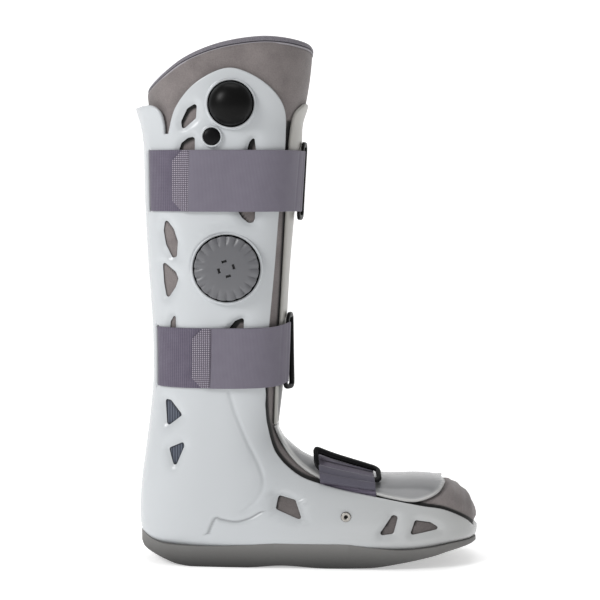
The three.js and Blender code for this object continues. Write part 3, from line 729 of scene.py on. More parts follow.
def maths(tree, operation, a, b=0.0, c=0.0):
    """One sum of up to three numbers."""
    return node(tree, "ShaderNodeMath", {"operation": operation}, i0=a, i1=b, i2=c).outputs[0]


def blended(tree, share, first, second):
    """Two colours mixed by a share."""
    mix = node(tree, "ShaderNodeMix", {"data_type": "RGBA"}, i0=share)
    for place, value in ((6, first), (7, second)):
        if isinstance(value, bpy.types.NodeSocket):
            tree.links.new(value, mix.inputs[place])
        else:
            mix.inputs[place].default_value = (*value, 1)
    return mix.outputs[2]


def noise(tree, vector, scale, detail=3.0):
    """Fractal noise, about half on average, with a scale in grains to the metre."""
    return node(tree, "ShaderNodeTexNoise", (), Vector=vector, Scale=scale, Detail=detail).outputs[0]


def bumped(made, height, strength, distance):
    """The shader's normal bent by a height."""
    tree = made.node_tree
    bump = node(tree, "ShaderNodeBump", (), Height=height, Strength=strength, Distance=distance)
    tree.links.new(bump.outputs[0], tree.nodes["Principled BSDF"].inputs["Normal"])


def tinted(made, colour):
    """The shader's colour taken from a node."""
    made.node_tree.links.new(colour, made.node_tree.nodes["Principled BSDF"].inputs["Base Color"])


def object_place(tree):
    """Where a point lies on its object, in metres."""
    return tree.nodes.new("ShaderNodeTexCoord").outputs["Object"]


def painted(tree, name):
    """The number that paint put at every point."""
    return node(tree, "ShaderNodeAttribute", {"attribute_name": name}).outputs["Fac"]


def marked(made, name, plain, mark):
    """The finish's plain colour, blended into a mark's colour by the painted number of a name."""
    tree = made.node_tree
    tinted(made, blended(tree, painted(tree, name), plain, mark))


def axis(tree, vector, number):
    """One part of a vector: 0 for X, 1 for Y, 2 for Z."""
    return node(tree, "ShaderNodeSeparateXYZ", (), Vector=vector).outputs[number]


def spread(tree, value, low, high):
    """0 at low, 1 at high, straight between and held beyond."""
    return node(tree, "ShaderNodeMapRange", (), Value=value, From_Min=low, From_Max=high).outputs[0]


def uv_parts(tree):
    """The UV place, and its run along the band and across it."""
    uv = tree.nodes.new("ShaderNodeTexCoord").outputs["UV"]
    parts = node(tree, "ShaderNodeSeparateXYZ", (), Vector=uv)
    return uv, parts.outputs[0], parts.outputs[1]


def waves(tree, value, pitch):
    """0 to 1 and back once in every pitch of a value."""
    turn = maths(tree, "MULTIPLY", value, 2 * np.pi / pitch)
    return maths(tree, "MULTIPLY_ADD", maths(tree, "SINE", turn), 0.5, 0.5)


# %% [markdown]
# ### Plastics, rubber and metal
# The white moulding is satin, with a fine grain that only breaks up its highlights, and it greys a
# little towards the toes, where the studio's light falls off. The sole darkens downwards. Both are
# blends along one axis, which follow the piece and need no picture.

# %% White, grey and black plastics
# SHADE and DEEP_SHADE are painted shade, blended in where the mesh's points are marked.
SHADE = (0.006, 0.006, 0.006)
DEEP_SHADE = (0.004, 0.004, 0.004)
SHELL_WHITE, SHELL_AT_TOES = (0.50, 0.52, 0.537), (0.405, 0.410, 0.408)
PANEL_WHITE = (0.40, 0.39, 0.365)
PLATE_GREY, PLATE_EDGE = (0.19, 0.193, 0.198), (0.50, 0.50, 0.49)
DIAL_GREY = (0.122, 0.123, 0.132)
GREYS_FROM, GREYS_TO = 0.03, 0.20

white_shell = finish("white_shell", SHELL_WHITE, roughness=0.27)
tree = white_shell.node_tree
forward = spread(tree, axis(tree, object_place(tree), 0), GREYS_FROM, GREYS_TO)
marked(white_shell, "gap", blended(tree, forward, SHELL_WHITE, SHELL_AT_TOES), SHADE)
bumped(white_shell, noise(tree, object_place(tree), scale=900, detail=2), strength=0.08, distance=0.0002)

white_panel = finish("white_panel", PANEL_WHITE, roughness=0.4)
marked(white_panel, "gap", PANEL_WHITE, SHADE)
glossy_plate = finish("glossy_plate", PLATE_GREY, roughness=0.26, Coat_Weight=0.25, Coat_Roughness=0.1)
marked(glossy_plate, "light", PLATE_GREY, PLATE_EDGE)
grey_plastic = finish("grey_plastic", DIAL_GREY, roughness=0.36)
marked(grey_plastic, "gap", DIAL_GREY, DEEP_SHADE)
black_plastic = finish("black_plastic", (0.003, 0.003, 0.0035), roughness=0.36, Specular_IOR_Level=0.12)

# %% Rubber and metal
black_rubber = finish("black_rubber", (0.003, 0.003, 0.003), roughness=0.34, Specular_IOR_Level=0.12)
tree = black_rubber.node_tree
bumped(black_rubber, noise(tree, object_place(tree), scale=1400, detail=2), strength=0.06, distance=0.0002)

RIVET_TONE, RIVET_SHADE = (0.42, 0.40, 0.37), (0.012, 0.011, 0.01)
rivet_metal = finish("rivet_metal", RIVET_TONE, roughness=0.38, Metallic=0.9)
marked(rivet_metal, "gap", RIVET_TONE, RIVET_SHADE)

SOLE_LOW, SOLE_HIGH, SOLE_PALE_AT = (0.010, 0.0098, 0.0095), (0.215, 0.211, 0.204), 0.026
sole_rubber = finish("sole_rubber", SOLE_HIGH, roughness=0.7)
tree = sole_rubber.node_tree
place = object_place(tree)
upward = spread(tree, axis(tree, place, 2), 0.0, SOLE_PALE_AT)
tinted(sole_rubber, blended(tree, upward, SOLE_LOW, SOLE_HIGH))
bumped(sole_rubber, noise(tree, place, scale=700, detail=4), strength=0.3, distance=0.0004)

# %% [markdown]
# ### Cloths
# The liner is brushed loop cloth, mottled and matt, with a dark net behind two windows. The
# binding is a fuzzy tape. The straps are woven: waves along and across the band's own UV map make
# ribs and threads, and follow it round every turn, which a pattern in space would not.

# %% The liner's cloth and its binding
NET_PITCH = 0.0022
liner_cloth = finish(
    "liner_cloth", (0.19, 0.165, 0.162), roughness=0.95, Sheen_Weight=0.2, Sheen_Roughness=0.5,
)
tree = liner_cloth.node_tree
place = object_place(tree)
fine, coarse = noise(tree, place, scale=900, detail=2), noise(tree, place, scale=60, detail=4)
mottle = maths(tree, "MULTIPLY_ADD", fine, 0.7, coarse)
mottle = maths(tree, "MULTIPLY_ADD", mottle, 1.4, -0.7)
cloth = blended(tree, mottle, (0.135, 0.118, 0.117), (0.225, 0.200, 0.195))
stitches = waves(tree, axis(tree, place, 0), NET_PITCH)
netting = blended(tree, stitches, (0.028, 0.034, 0.050), (0.105, 0.118, 0.150))
marked(liner_cloth, "gap", blended(tree, painted(tree, "net"), cloth, netting), DEEP_SHADE)
bumped(liner_cloth, noise(tree, place, scale=1500, detail=4), strength=0.5, distance=0.0006)

binding_cloth = finish("binding_cloth", (0.20, 0.185, 0.215), roughness=0.9, Sheen_Weight=0.15)
tree = binding_cloth.node_tree
fuzz = noise(tree, object_place(tree), scale=1300, detail=3)
mottle = maths(tree, "MULTIPLY_ADD", fuzz, 2.0, -0.6)
cloth = blended(tree, mottle, (0.105, 0.098, 0.115), (0.235, 0.222, 0.245))
cloth = blended(tree, painted(tree, "light"), cloth, (0.30, 0.285, 0.305))
# The dark colour is painted shade, along the binding's seam and its lower edge.
marked(binding_cloth, "gap", cloth, (0.035, 0.032, 0.040))
bumped(binding_cloth, fuzz, strength=0.6, distance=0.0005)


# %% The straps' weaves
def woven(name, dark, light, rib, thread, depth, roughness=0.9):
    """Cloth of ribs along its width and fine threads, mottled a little.

    Its height is a wave along, 0.4 of a wave across and 0.8 of fine noise, and lightens it.
    """
    made = finish(name, light, roughness, Sheen_Weight=0.2)
    tree = made.node_tree
    uv, along, across = uv_parts(tree)
    ribs = waves(tree, along, rib)
    threads = waves(tree, across, thread)
    height = maths(tree, "MULTIPLY_ADD", threads, 0.4, ribs)
    fuzz = noise(tree, uv, scale=1600, detail=3)
    height = maths(tree, "MULTIPLY_ADD", fuzz, 0.8, height)
    share = maths(tree, "MULTIPLY", height, 0.45)
    patches = noise(tree, uv, scale=90, detail=3)
    share = maths(tree, "MULTIPLY", share, maths(tree, "ADD", patches, 0.5))
    tinted(made, blended(tree, share, dark, light))
    bumped(made, height, strength=0.45, distance=depth)
    return made


FINE_WEAVE = (0.0011, 0.0009, 0.00015)
PILE_WEAVE = (0.0019, 0.0012, 0.0006)
webbing = woven("webbing", (0.120, 0.108, 0.142), (0.178, 0.164, 0.202), *FINE_WEAVE)
# shaded_webbing is a darker copy of the webbing: painted shade for the toe strap's turned layer, which
# faces down and away from the light.
shaded_webbing = woven("shaded_webbing", (0.060, 0.056, 0.078), (0.098, 0.092, 0.120), *FINE_WEAVE)
pile = woven("pile", (0.060, 0.050, 0.080), (0.155, 0.137, 0.180), *PILE_WEAVE, 1.0)

# %% The hook tape's grid of dots
HOOK_PITCH = 0.0016
hook_grid = finish("hook_grid", (0.16, 0.14, 0.18), roughness=0.7)
tree = hook_grid.node_tree
uv, along, across = uv_parts(tree)
dots = maths(tree, "MULTIPLY", waves(tree, along, HOOK_PITCH), waves(tree, across, HOOK_PITCH))
dots = maths(tree, "POWER", dots, 0.7)
tinted(hook_grid, blended(tree, dots, (0.045, 0.036, 0.058), (0.46, 0.42, 0.49)))
bumped(hook_grid, dots, strength=0.8, distance=0.0006)

# %% [markdown]
# ## The moulded shell
# One white moulding holds the calf, the ankle, the heel and the sides of the foot. Its edge runs
# from a wing at the back of the calf over a lobe and down to the tray's rim, and its windows leave
# webs between them. The lines below are read from the side, as shares of the leg and the foot, so
# that they stay in place when a size changes.

# %% Side lines of the shell
WING = [(0, 0.808), (0.06, 0.808), (0.115, 0.790), (0.145, 0.755), (0.150, 0.728)]
LOBE = [
    (0.175, 0.729), (0.213, 0.800), (0.321, 0.867), (0.496, 0.908), (0.611, 0.898), (0.774, 0.852),
    (0.866, 0.800), (0.902, 0.720), (0.902, 0.500), (0.900, 0.359), (0.881, 0.189), (0.868, 0.030),
]
RIM = [
    (0.374, 1.121), (0.379, 0.992), (0.404, 0.793), (0.466, 0.643), (0.558, 0.564), (0.681, 0.504),
    (0.819, 0.446), (0.889, 0.414), (0.955, 0.329), (0.985, 0.255), (0.9968, 0.245),
]
LEG_WINDOWS = [
    [
        (0.142, 0.494), (0.200, 0.462), (0.226, 0.428), (0.216, 0.384), (0.186, 0.380), (0.140, 0.418),
        (0.126, 0.457),
    ],
    [(0.108, 0.372), (0.205, 0.341), (0.222, 0.322), (0.198, 0.298), (0.126, 0.260), (0.110, 0.310)],
    [(0.187, 0.225), (0.183, 0.140), (0.134, 0.140), (0.144, 0.198)],
    [(0.610, 0.530), (0.752, 0.530), (0.754, 0.490), (0.742, 0.480), (0.710, 0.480), (0.668, 0.494)],
    [(0.566, 0.170), (0.634, 0.203), (0.701, 0.214), (0.702, 0.150)],
    [(0.338, 0.814), (0.342, 0.770), (0.258, 0.738), (0.250, 0.762), (0.282, 0.797)],
    [(0.340, 0.720), (0.342, 0.670), (0.232, 0.670), (0.254, 0.702), (0.298, 0.717)],
    [(0.716, 0.720), (0.736, 0.670), (0.669, 0.670), (0.687, 0.705)],
]
FOOT_WINDOWS = [
    [(0.078, 1.177), (0.096, 1.170), (0.131, 1.072), (0.084, 0.985)],
    [(0.134, 0.885), (0.137, 0.855), (0.107, 0.698), (0.090, 0.839)],
    [(0.412, 0.515), (0.460, 0.480), (0.480, 0.330), (0.403, 0.415)],
    [(0.736, 0.386), (0.752, 0.376), (0.739, 0.246), (0.695, 0.228)],
    [(0.801, 0.349), (0.846, 0.331), (0.877, 0.280), (0.786, 0.233)],
]
INSTEP_RECESS = [(0.383, 0.557), (0.446, 0.525), (0.477, 0.468), (0.499, 0.287), (0.380, 0.417)]
ARCH_LINE = [
    (0.270, 1.237), (0.290, 1.076), (0.320, 0.893), (0.355, 0.712), (0.366, 0.618), (0.362, 0.546),
    (0.343, 0.474), (0.316, 0.419),
]
HEEL_LINE = [
    (0.208, 0.239), (0.230, 0.349), (0.247, 0.340), (0.289, 0.325), (0.324, 0.346), (0.359, 0.392),
]


def on_leg(rows):
    """Rows of shares across and up the leg, as side points."""
    return leg_point(*np.array(rows).T)


def on_foot(rows):
    """Rows of shares along and up the foot, as side points."""
    return foot_point(*np.array(rows).T)


rim_line = smooth_line(on_foot(RIM))
shell_line = np.concatenate([smooth_line(on_leg(WING)), smooth_line(on_leg(LOBE)), rim_line])
TOO_NEAR = 0.2
shell_line = shell_line[np.concatenate([[True], np.hypot(*np.diff(shell_line, axis=0).T) > TOO_NEAR])]
WINDOW_CORNER = 1.8
windows = [rounded(on_leg(rows), WINDOW_CORNER) for rows in LEG_WINDOWS]
windows += [rounded(on_foot(rows), WINDOW_CORNER) for rows in FOOT_WINDOWS]
print("shell line:", len(shell_line), "points,", len(windows), "windows")

# %% [markdown]
# ### Places of the controls and the straps
# The bulb, the button and the dial sit in round wells in the near side, and the leg straps come
# out of upright slots at the back. Their sizes are set here, before the shell is cut for them, so
# that the holes and what fills them always agree.

# %% Sizes of the controls and the straps
BULB_RADIUS = 18.3
BULB_HEIGHT = 15.0
BULB_LIP = 2.2
BUTTON_RADIUS = 6.7
BUTTON_HEIGHT = 4.4
BUTTON_TRAVEL = 1.5
BULB_SHARES, BUTTON_SHARES, DIAL_SHARES = (0.544, 0.81), (0.45, 0.72), (0.57, 0.353)
COLLAR_WALL = 1.4
COLLAR_RISE = 4.0
DIAL_RADIUS = 27.0
DIAL_HEIGHT = 9.0
DIAL_LIP = 2.4
SEAT_DEPTH = 1.0
STRAP_WIDTH = 50.0
STRAP_WALL = 1.8
SLOT_ACROSS = 0.045
SLOT_WIDTH = 3.4
SLOT_CORNER = 1.2
UPPER_STRAP_UP = 0.598
LOWER_STRAP_UP = 0.0986

bulb_at, button_at, dial_at = [leg_point(*at) for at in (BULB_SHARES, BUTTON_SHARES, DIAL_SHARES)]
rivet_at = foot_point(0.603, 0.37)
LEG_ROUND = 2.6


# %% Floors of the wells, and the outlines that are cut for them
def leg_side(across, up):
    """Half width of the leg at a place on it: the widest there, by a superellipse across."""
    side = np.interp(up, LEG_RIBS[::-1, 0], LEG_RIBS[::-1, 3]) * CALF_WIDTH / 2
    return side * (1 - (abs(across - 0.5) / 0.5) ** LEG_ROUND) ** (1 / LEG_ROUND)


bulb_floor = SEAT_DEPTH - leg_side(*BULB_SHARES)
button_floor = SEAT_DEPTH - leg_side(*BUTTON_SHARES)
dial_floor = SEAT_DEPTH - leg_side(*DIAL_SHARES)


def circle(centre, radius, count=72):
    """A closed round outline: the centre plus the radius times a cosine and a sine."""
    turn = np.linspace(0, 2 * np.pi, count, endpoint=False)[:, None]
    return centre + radius * np.concatenate([np.cos(turn), np.sin(turn)], 1)


def slot_outline(up):
    """The upright slot that a leg strap comes out of."""
    x, z = leg_point(SLOT_ACROSS, up)
    half = SLOT_WIDTH / 2
    low, high = z - STRAP_WIDTH / 2 - GAP, z + STRAP_WIDTH / 2 + GAP
    return rounded([(x - half, low), (x + half, low), (x + half, high), (x - half, high)], SLOT_CORNER)


control_cuts = [
    circle(bulb_at, BULB_RADIUS + GAP + BULB_LIP / 2),
    circle(button_at, BUTTON_RADIUS + GAP + COLLAR_WALL / 2, 40),
    circle(dial_at, DIAL_RADIUS + GAP + DIAL_LIP / 2, 100),
]
slots = [slot_outline(UPPER_STRAP_UP), slot_outline(LOWER_STRAP_UP)]

# %% [markdown]
# ### The shell itself
# Its depth under the form's skin is a sum of small reliefs, each worked out from a distance: a
# bevel round the windows, a recess at the instep, two creases at the ankle and the heel, and on
# the near side a low crest beside the dial. Sculpting could do the same, but sums stay editable.

# %% The seam that closes the shell on the boot's middle
toe_seam = np.linspace(np.pi / 2, 0, 10)[1:]
back_seam = np.linspace(LAST, place_on_form(*shell_line[0], True)[0], 260)[1:-1]
seam = np.concatenate([
    to_chart(np.full(len(toe_seam), LAST), toe_seam), to_chart(back_seam, np.zeros(len(back_seam))),
])
arch_line = smooth_line(on_foot(ARCH_LINE))
heel_line = smooth_line(on_foot(HEEL_LINE))

# %% The shell
BEVEL_DEPTH, BEVEL_WIDTH = 2.2, 5.5
RECESS_DEPTH, RECESS_EDGE = 1.2, 2.5
ARCH_DEPTH, ARCH_WIDTH = 0.8, 2.0
HEEL_DEPTH, HEEL_WIDTH = 1.2, 1.3
CREST_RISE, CREST_AWAY, CREST_WIDTH, CREST_TOWARDS = 1.9, 4.5, 2.2, 125
EDGE_ROUND, INNER_ROUND = 0.9, 0.5
HIGHEST, LEAST_LEFT, LEAST_WALL = 2.0, 0.8, 0.6
HEEL_SHADE, ARCH_SHADE, RECESS_SHADE, WINDOW_SHADE = 0.45, 0.06, 0.10, 2.5


def dial_crest(side):
    """A low crest beside the dial: a bell of the distance from its rim, widest to one side."""
    from_dial = np.hypot(*(side - dial_at).T) - DIAL_RADIUS
    towards = np.arctan2(side[:, 1] - dial_at[1], side[:, 0] - dial_at[0])
    lip = np.clip(np.cos(towards - np.radians(CREST_TOWARDS)), 0, 1) ** 2
    return CREST_RISE * bell(from_dial - CREST_AWAY, CREST_WIDTH) * lip


def shell_half(sign, cuts):
    """One side of the shell: the sum of its reliefs, between a rounded edge and a least wall."""
    shell = Sheet(shell_line, seam, windows, cuts, (arch_line, heel_line), flared=True)
    arch = signed_side(shell.side, arch_line)
    heel = signed_side(shell.side, heel_line)
    instep = sunk(shell.side, on_foot(INSTEP_RECESS), RECESS_EDGE)
    relief = BEVEL_DEPTH * (1 - ease(shell.to_window / BEVEL_WIDTH)) + RECESS_DEPTH * instep
    relief += ARCH_DEPTH * bell(arch, ARCH_WIDTH) + HEEL_DEPTH * bell(heel, HEEL_WIDTH)
    if sign < 0:
        relief -= dial_crest(shell.side)
    outer_depth = np.clip(relief, -HIGHEST, SHELL_WALL - LEAST_LEFT) + round_over(shell.to_edge, EDGE_ROUND)
    outer = shell.at(np.minimum(outer_depth, SHELL_WALL - LEAST_WALL))
    inner = shell.at(SHELL_WALL - round_over(shell.to_edge, INNER_ROUND))
    # Painted shade: on the outside along the heel and arch creases and in the instep recess, on the inside
    # beside the windows.
    shade = HEEL_SHADE * bell(heel, 0.8) + ARCH_SHADE * bell(arch, 1.0) + RECESS_SHADE * instep
    dark = ease(WINDOW_SHADE - shell.to_window)
    return shell.half(sign, outer, inner, shade, dark)


joined(
    "rear_shell", [shell_half(-1, [*control_cuts, *slots]), shell_half(1, slots)],
    finish=white_shell, nodes=("rear_shell",), slot="white_shell",
)


# %% [markdown]
# ## Wells in the shell
# The bulb, the button and the dial each sit in a round well with a raised lip, whose flank runs
# down to the shell's skin all round. A boolean ring would leave a hard line there. A profile
# turned round the well's axis, with its last loops laid on the skin, meets it smoothly.

# %% Wells
FLANK = ((0.1, 0.5), (0.45, 0.12), (1.0, -0.05), (1.8, -0.25))
POLE = 0.01


def skin_y(x, z):
    """The depth of the shell's skin at a side point."""
    t, angle = place_on_form(x, z, True)
    return form(t, angle, 0, True)[..., 1]


def round_loop(centre, radius, y, turn):
    """Points round a level axis: the centre plus the radius times a cosine and a sine, at y."""
    x, z = centre[0] + radius * np.cos(turn), centre[1] + radius * np.sin(turn)
    return np.stack([x, np.broadcast_to(y, x.shape), z], -1)


def well(name, centre, floor, bore, rim, lip, sides=96, flank=1.0):
    """A round well: floor, bore, a rounded lip, and a flank that ends just under the skin.

    Each loop is a radius and a rise from the floor. The flank's loops are a spread past the rim
    and a depth under the skin there.
    """
    turn = np.linspace(0, 2 * np.pi, sides, endpoint=False)
    half = (rim - bore) / 2
    arc = np.linspace(np.pi, 0, 9)
    floor_radii = [POLE, bore * 0.5, bore - 0.3, bore, bore]
    radii = np.concatenate([floor_radii, (bore + half) + half * np.cos(arc)])
    rises = np.concatenate([[0, 0, 0, 0.3, lip * 0.5], lip - half + half * np.sin(arc)])
    loops = [round_loop(centre, radius, floor - rise, turn) for radius, rise in zip(radii, rises)]
    for share, sink in FLANK:
        x, _, z = round_loop(centre, rim + flank * share, 0, turn).T
        loops.append(np.stack([x, skin_y(x, z) - sink, z], 1))
    # The well's floor and bore are painted with shade.
    dark = np.repeat([1.0] * 5 + [0.0] * (len(loops) - 5), sides)
    return tube_piece(name, np.array(loops), cap=False, gap=dark, finish=white_shell, slot="white_shell")


bores = [radius + GAP for radius in (BULB_RADIUS, BUTTON_RADIUS, DIAL_RADIUS)]
well("bulb_well", bulb_at, bulb_floor, bores[0], BULB_RADIUS + BULB_LIP, SEAT_DEPTH + BULB_LIP)
well(
    "button_well", button_at, button_floor, bores[1], bores[1] + COLLAR_WALL, COLLAR_RISE,
    sides=64, flank=1.5,
)
well("dial_well", dial_at, dial_floor, bores[2], bores[2] + DIAL_LIP, SEAT_DEPTH + DIAL_LIP, sides=120)

# %% [markdown]
# ## The front plates
# A thin white plate covers the shin, and a glossy tongue plate the instep. They meet at the ankle.
# Both bend with the boot, so they are trimmed sheets on the same form as the shell, with a seam
# down the front middle.

# %% The shin panel
SHIN = [(0.975, 0.812), (0.940, 0.785), (0.931, 0.720), (0.953, 0.504), (0.962, 0.240), (0.955, 0.010)]
PLATE = [
    (0.401, 0.966), (0.416, 0.881), (0.464, 0.718), (0.534, 0.611), (0.640, 0.547), (0.729, 0.492),
    (0.805, 0.472), (0.870, 0.522), (0.897, 0.575),
]
SPLIT_GAP = 1.2
PANEL_ROUND, PLATE_ROUND = 0.8, 0.7


def front_seam(first, last, count):
    """Chart points down the front mid-plane between two ribs, ends left out."""
    t = np.linspace(first, last, count)[1:-1]
    return to_chart(t, np.full(len(t), np.pi))


plate_line = smooth_line(on_foot(PLATE))
shin_line = smooth_line(on_leg(SHIN))
panel_foot = plate_line[0] + (0, SPLIT_GAP)
shin_edge = np.concatenate([
    [leg_point(1.0, 0.815)], [leg_point(0.99, 0.8145)], shin_line,
    np.linspace(shin_line[-1], panel_foot, 20)[1:], [panel_foot + (1.4, 0)], [panel_foot + (4.0, 0)],
])
ends = place_on_form(*shin_edge[[0, -1]].T)[0]
shin = Sheet(shin_edge, front_seam(ends[1], ends[0], 110))
shin_panel = shin.solid(
    "shin_panel",
    shin.at(round_over(shin.to_edge, PANEL_ROUND)),
    shin.at(PANEL_WALL - round_over(shin.to_edge, INNER_ROUND)),
    finish=white_panel, nodes=("shin_panel",), slot="white_shell",
)
PANEL_FOOT = 153.0


def panel_shade(co):
    """Painted shade below the panel's foot, apart from a narrow edge."""
    to_edge = np.abs(signed_side(co[:, [0, 2]], shin_edge))
    return ease((PANEL_FOOT - co[:, 2]) / 1.5) * ease((to_edge - 1.3) / 0.9)


paint(shin_panel, "gap", panel_shade)

# %% [markdown]
# ### The tongue plate
# The real plate is glossy and dished, with a pale raised rim where the light catches its edge. The
# dish is a depth that grows with the distance from the edge, and the pale rim is painted.

# %% The tongue plate, with a raised rim
DISH_DEPTH, DISH_FROM, DISH_WIDTH = 0.9, 1.6, 2.4
plate_edge = np.concatenate([[plate_line[0] + (3.0, 0)], [plate_line[0] + (1.4, 0)], plate_line])
ends = place_on_form(*plate_edge[[0, -1]].T)[0]
plate = Sheet(plate_edge, front_seam(ends[1], ends[0], 90), spacing=2.8)
dish = DISH_DEPTH * ease((plate.to_edge - DISH_FROM) / DISH_WIDTH)
foot_panel = plate.solid(
    "foot_panel",
    plate.at(dish + round_over(plate.to_edge, PLATE_ROUND)),
    plate.at(PANEL_WALL - round_over(plate.to_edge, INNER_ROUND)),
    finish=glossy_plate, nodes=("foot_panel",), slot="glossy_plate",
)
PLATE_PALE_TO = 62.0


def plate_light(co):
    """Pale along the plate's rim and up its rear end."""
    rim = ease((2.2 - np.abs(signed_side(co[:, [0, 2]], plate_line))) / 1.0)
    return np.maximum(0.8 * rim, 0.35 * ease((PLATE_PALE_TO - co[:, 0]) / 12))


paint(foot_panel, "light", plate_light)

# %% [markdown]
# ## The padded liner
# The liner is a thick padded boot that fills the shell, and swells out a little wherever the
# shell and the plates leave it free. A cloth simulation could press it in, but it would end
# differently each time. So it is one closed bag of an outer and an inner wall on the form, joined
# along its top edge, and its swell grows with the distance from the nearest stiff edge.

# %% The liner's top edge
LINER_TOP = [
    (-0.10, 0.843), (0.000, 0.852), (0.040, 0.868), (0.148, 0.910), (0.250, 0.943), (0.437, 0.978),
    (0.665, 0.996), (0.800, 0.995), (0.915, 0.987), (0.965, 0.980), (1.000, 0.964), (1.100, 0.950),
]
BINDING_HEIGHT = 6.5
BINDING_PROUD = 0.2
CURVE_STEP = 0.01
top_curve = smooth_line(LINER_TOP, CURVE_STEP)
LEVEL_T = np.linspace(0, len(LEG_RIBS), 3001)
LEVEL_Z = rib_at(LEVEL_T)[:, 1]


def level(z):
    """The rib at a height on the leg, read from a table of ribs' heights."""
    return np.interp(-z, -LEVEL_Z, LEVEL_T)


def top_height(angle):
    """Height of the liner's edge at an angle round the leg: its side curve, met by halting steps."""
    height = np.full_like(angle, ANKLE_HEIGHT + 0.95 * LEG_HEIGHT)
    for _ in range(6):
        up = (height - ANKLE_HEIGHT) / LEG_HEIGHT
        back, front = leg_point(0, up)[..., 0], leg_point(1, up)[..., 0]
        across = (form(level(height), angle, LINER_OUT)[..., 0] - back) / (front - back)
        height = ANKLE_HEIGHT + LEG_HEIGHT * np.interp(across, *top_curve.T)
    return height


def ripples(a, b, seed, count=7):
    """Gentle noise from -1 to 1: a sum of waves with chosen random directions and phases."""
    random = np.random.default_rng(seed)
    total = np.zeros(np.broadcast(a, b).shape)
    for _ in range(count):
        u, v = random.normal(size=2)
        total += np.sin(u * a + v * b + random.uniform(0, 2 * np.pi))
    return total / count**0.5 / 1.5


# %% Rows of the bag
COLUMNS, OUTER_ROWS, INNER_ROWS = 220, 300, 90
angle = np.linspace(0, 2 * np.pi, COLUMNS, endpoint=False)
edge_t = level(top_height(angle) - BINDING_HEIGHT + 1.0)
start = np.interp(edge_t, np.arange(len(RIBS)), RIB_RUN)


def bag_rows(count):
    """Ribs of a bag's rows, from its open edge to the toes, and the angles round it."""
    run = start + (RIB_RUN[-1] - start) * np.linspace(0, 1, count)[:, None]
    t = np.interp(run, RIB_RUN, np.arange(len(RIBS)))
    return t, np.broadcast_to(angle, t.shape)


# %% How far the liner swells
SWELL, SWELL_EDGE, TOE_LESS = 2.6, 7.0, 0.45
GATHERS, FOOT_RIPPLE = 0.5, 0.35
TOP_SWELL, TOP_RIPPLE = 0.7, 0.35
TOE_FROM, TOE_RUN = 168, 30
TIP_SWELL = 1.2
t, turn = bag_rows(OUTER_ROWS)
skin = form(t, turn)
side = skin[..., [0, 2]].reshape(-1, 2)
over_rim = signed_side(side, rim_line[10:]).reshape(t.shape)
under_plate = -signed_side(side, plate_line).reshape(t.shape)
past_plate = np.maximum(side[:, 0].reshape(t.shape) - plate_line[-1, 0], 0)
room = np.minimum(over_rim, np.maximum(under_plate, past_plate))
on_foot_part = ease((t - (len(LEG_RIBS) + 3)) / 3)
toe = ease((skin[..., 0] - TOE_FROM) / TOE_RUN)
swell = SWELL * ease((room - 0.6) / SWELL_EDGE) * on_foot_part * (1 - TOE_LESS * toe)
gathers = np.sin(skin[..., 0] * 0.75 + 0.8 * np.sin(turn * 2)) * toe * ease((room - 2) / 5)
foot_ripple = ripples(skin[..., 0] / 16, skin[..., 2] / 22 + skin[..., 1] / 17, 3) * ease((room - 1) / 5)
swell += GATHERS * gathers + FOOT_RIPPLE * foot_ripple
above_shell = signed_side(side, shell_line[:len(shell_line) - len(rim_line)]).reshape(t.shape)
free_top = ease((above_shell - 1) / 9) * (1 - ease(t - 3.0))
swell += free_top * (TOP_SWELL + TOP_RIPPLE * ripples(skin[..., 0] / 20, skin[..., 2] / 14, 8))
swell = np.where(np.abs(rib_at(t)[..., 4]) < NO_WIDTH, TIP_SWELL, swell)
print("the liner swells up to", swell.max().round(2), "mm")

# %% The liner
PADDING_WAVE = 0.5
outside = form(t, turn, LINER_OUT - swell)
t, turn = bag_rows(INNER_ROWS)
skin = form(t, turn)
padding = PADDING_WAVE * ripples(skin[..., 0] / 14 + skin[..., 1] / 18, skin[..., 2] / 20, 5)
within = form(t, turn, LINER_IN + padding)
bag = np.concatenate([outside[::-1], within])
liner = tube_piece(
    "liner", bag, cap=False, finish=liner_cloth, nodes=("liner",), slot="liner_cloth", merge=1e-7,
)


# %% [markdown]
# ### Dark gaps and the net
# Where a stiff piece stands off the liner, the photo shows a dark line beside its edge, wider on
# the side that the light doesn't reach. The gaps here are too thin to darken by themselves, so the
# liner's points near those edges are painted dark, by their distance in the side view.

# %% Dark gaps between the liner and the stiff pieces
def within_by(points, polygon):
    """How far points lie inside a side polygon, negative outside it."""
    away = np.abs(signed_side(points, np.concatenate([polygon, polygon[:1]])))
    return np.where(inside(points, polygon), away, -away)


GAP_REACH = 6.0
FRONT_FROM, FRONT_TO = 30, 185
HIGH_FROM, HIGH_TO = 345, 372
NEAR_WINDOW = -2.0
FOOT_WINDOW_SHADE = 0.38
HEEL_WINDOWS, TRAY_WINDOWS = windows[8:10], windows[10:]
front_edge = shell_line[(shell_line[:, 0] > FRONT_FROM) & (shell_line[:, 1] < FRONT_TO)]
# How far the lit part of each window is moved, in x and z: away from the key light
window_shifts = [(1.5, -0.8)] * 2 + [(1.5, 0.0)] + [(3.2, -2.6)] * 5 + [(0.8, -0.6)] * 2 + [(0.9, -0.9)] * 3


def beside(points, line, reach, fade):
    """1 on a side line, easing to 0 from reach less fade to reach away from it."""
    return ease((reach - np.abs(signed_side(points, line))) / fade)


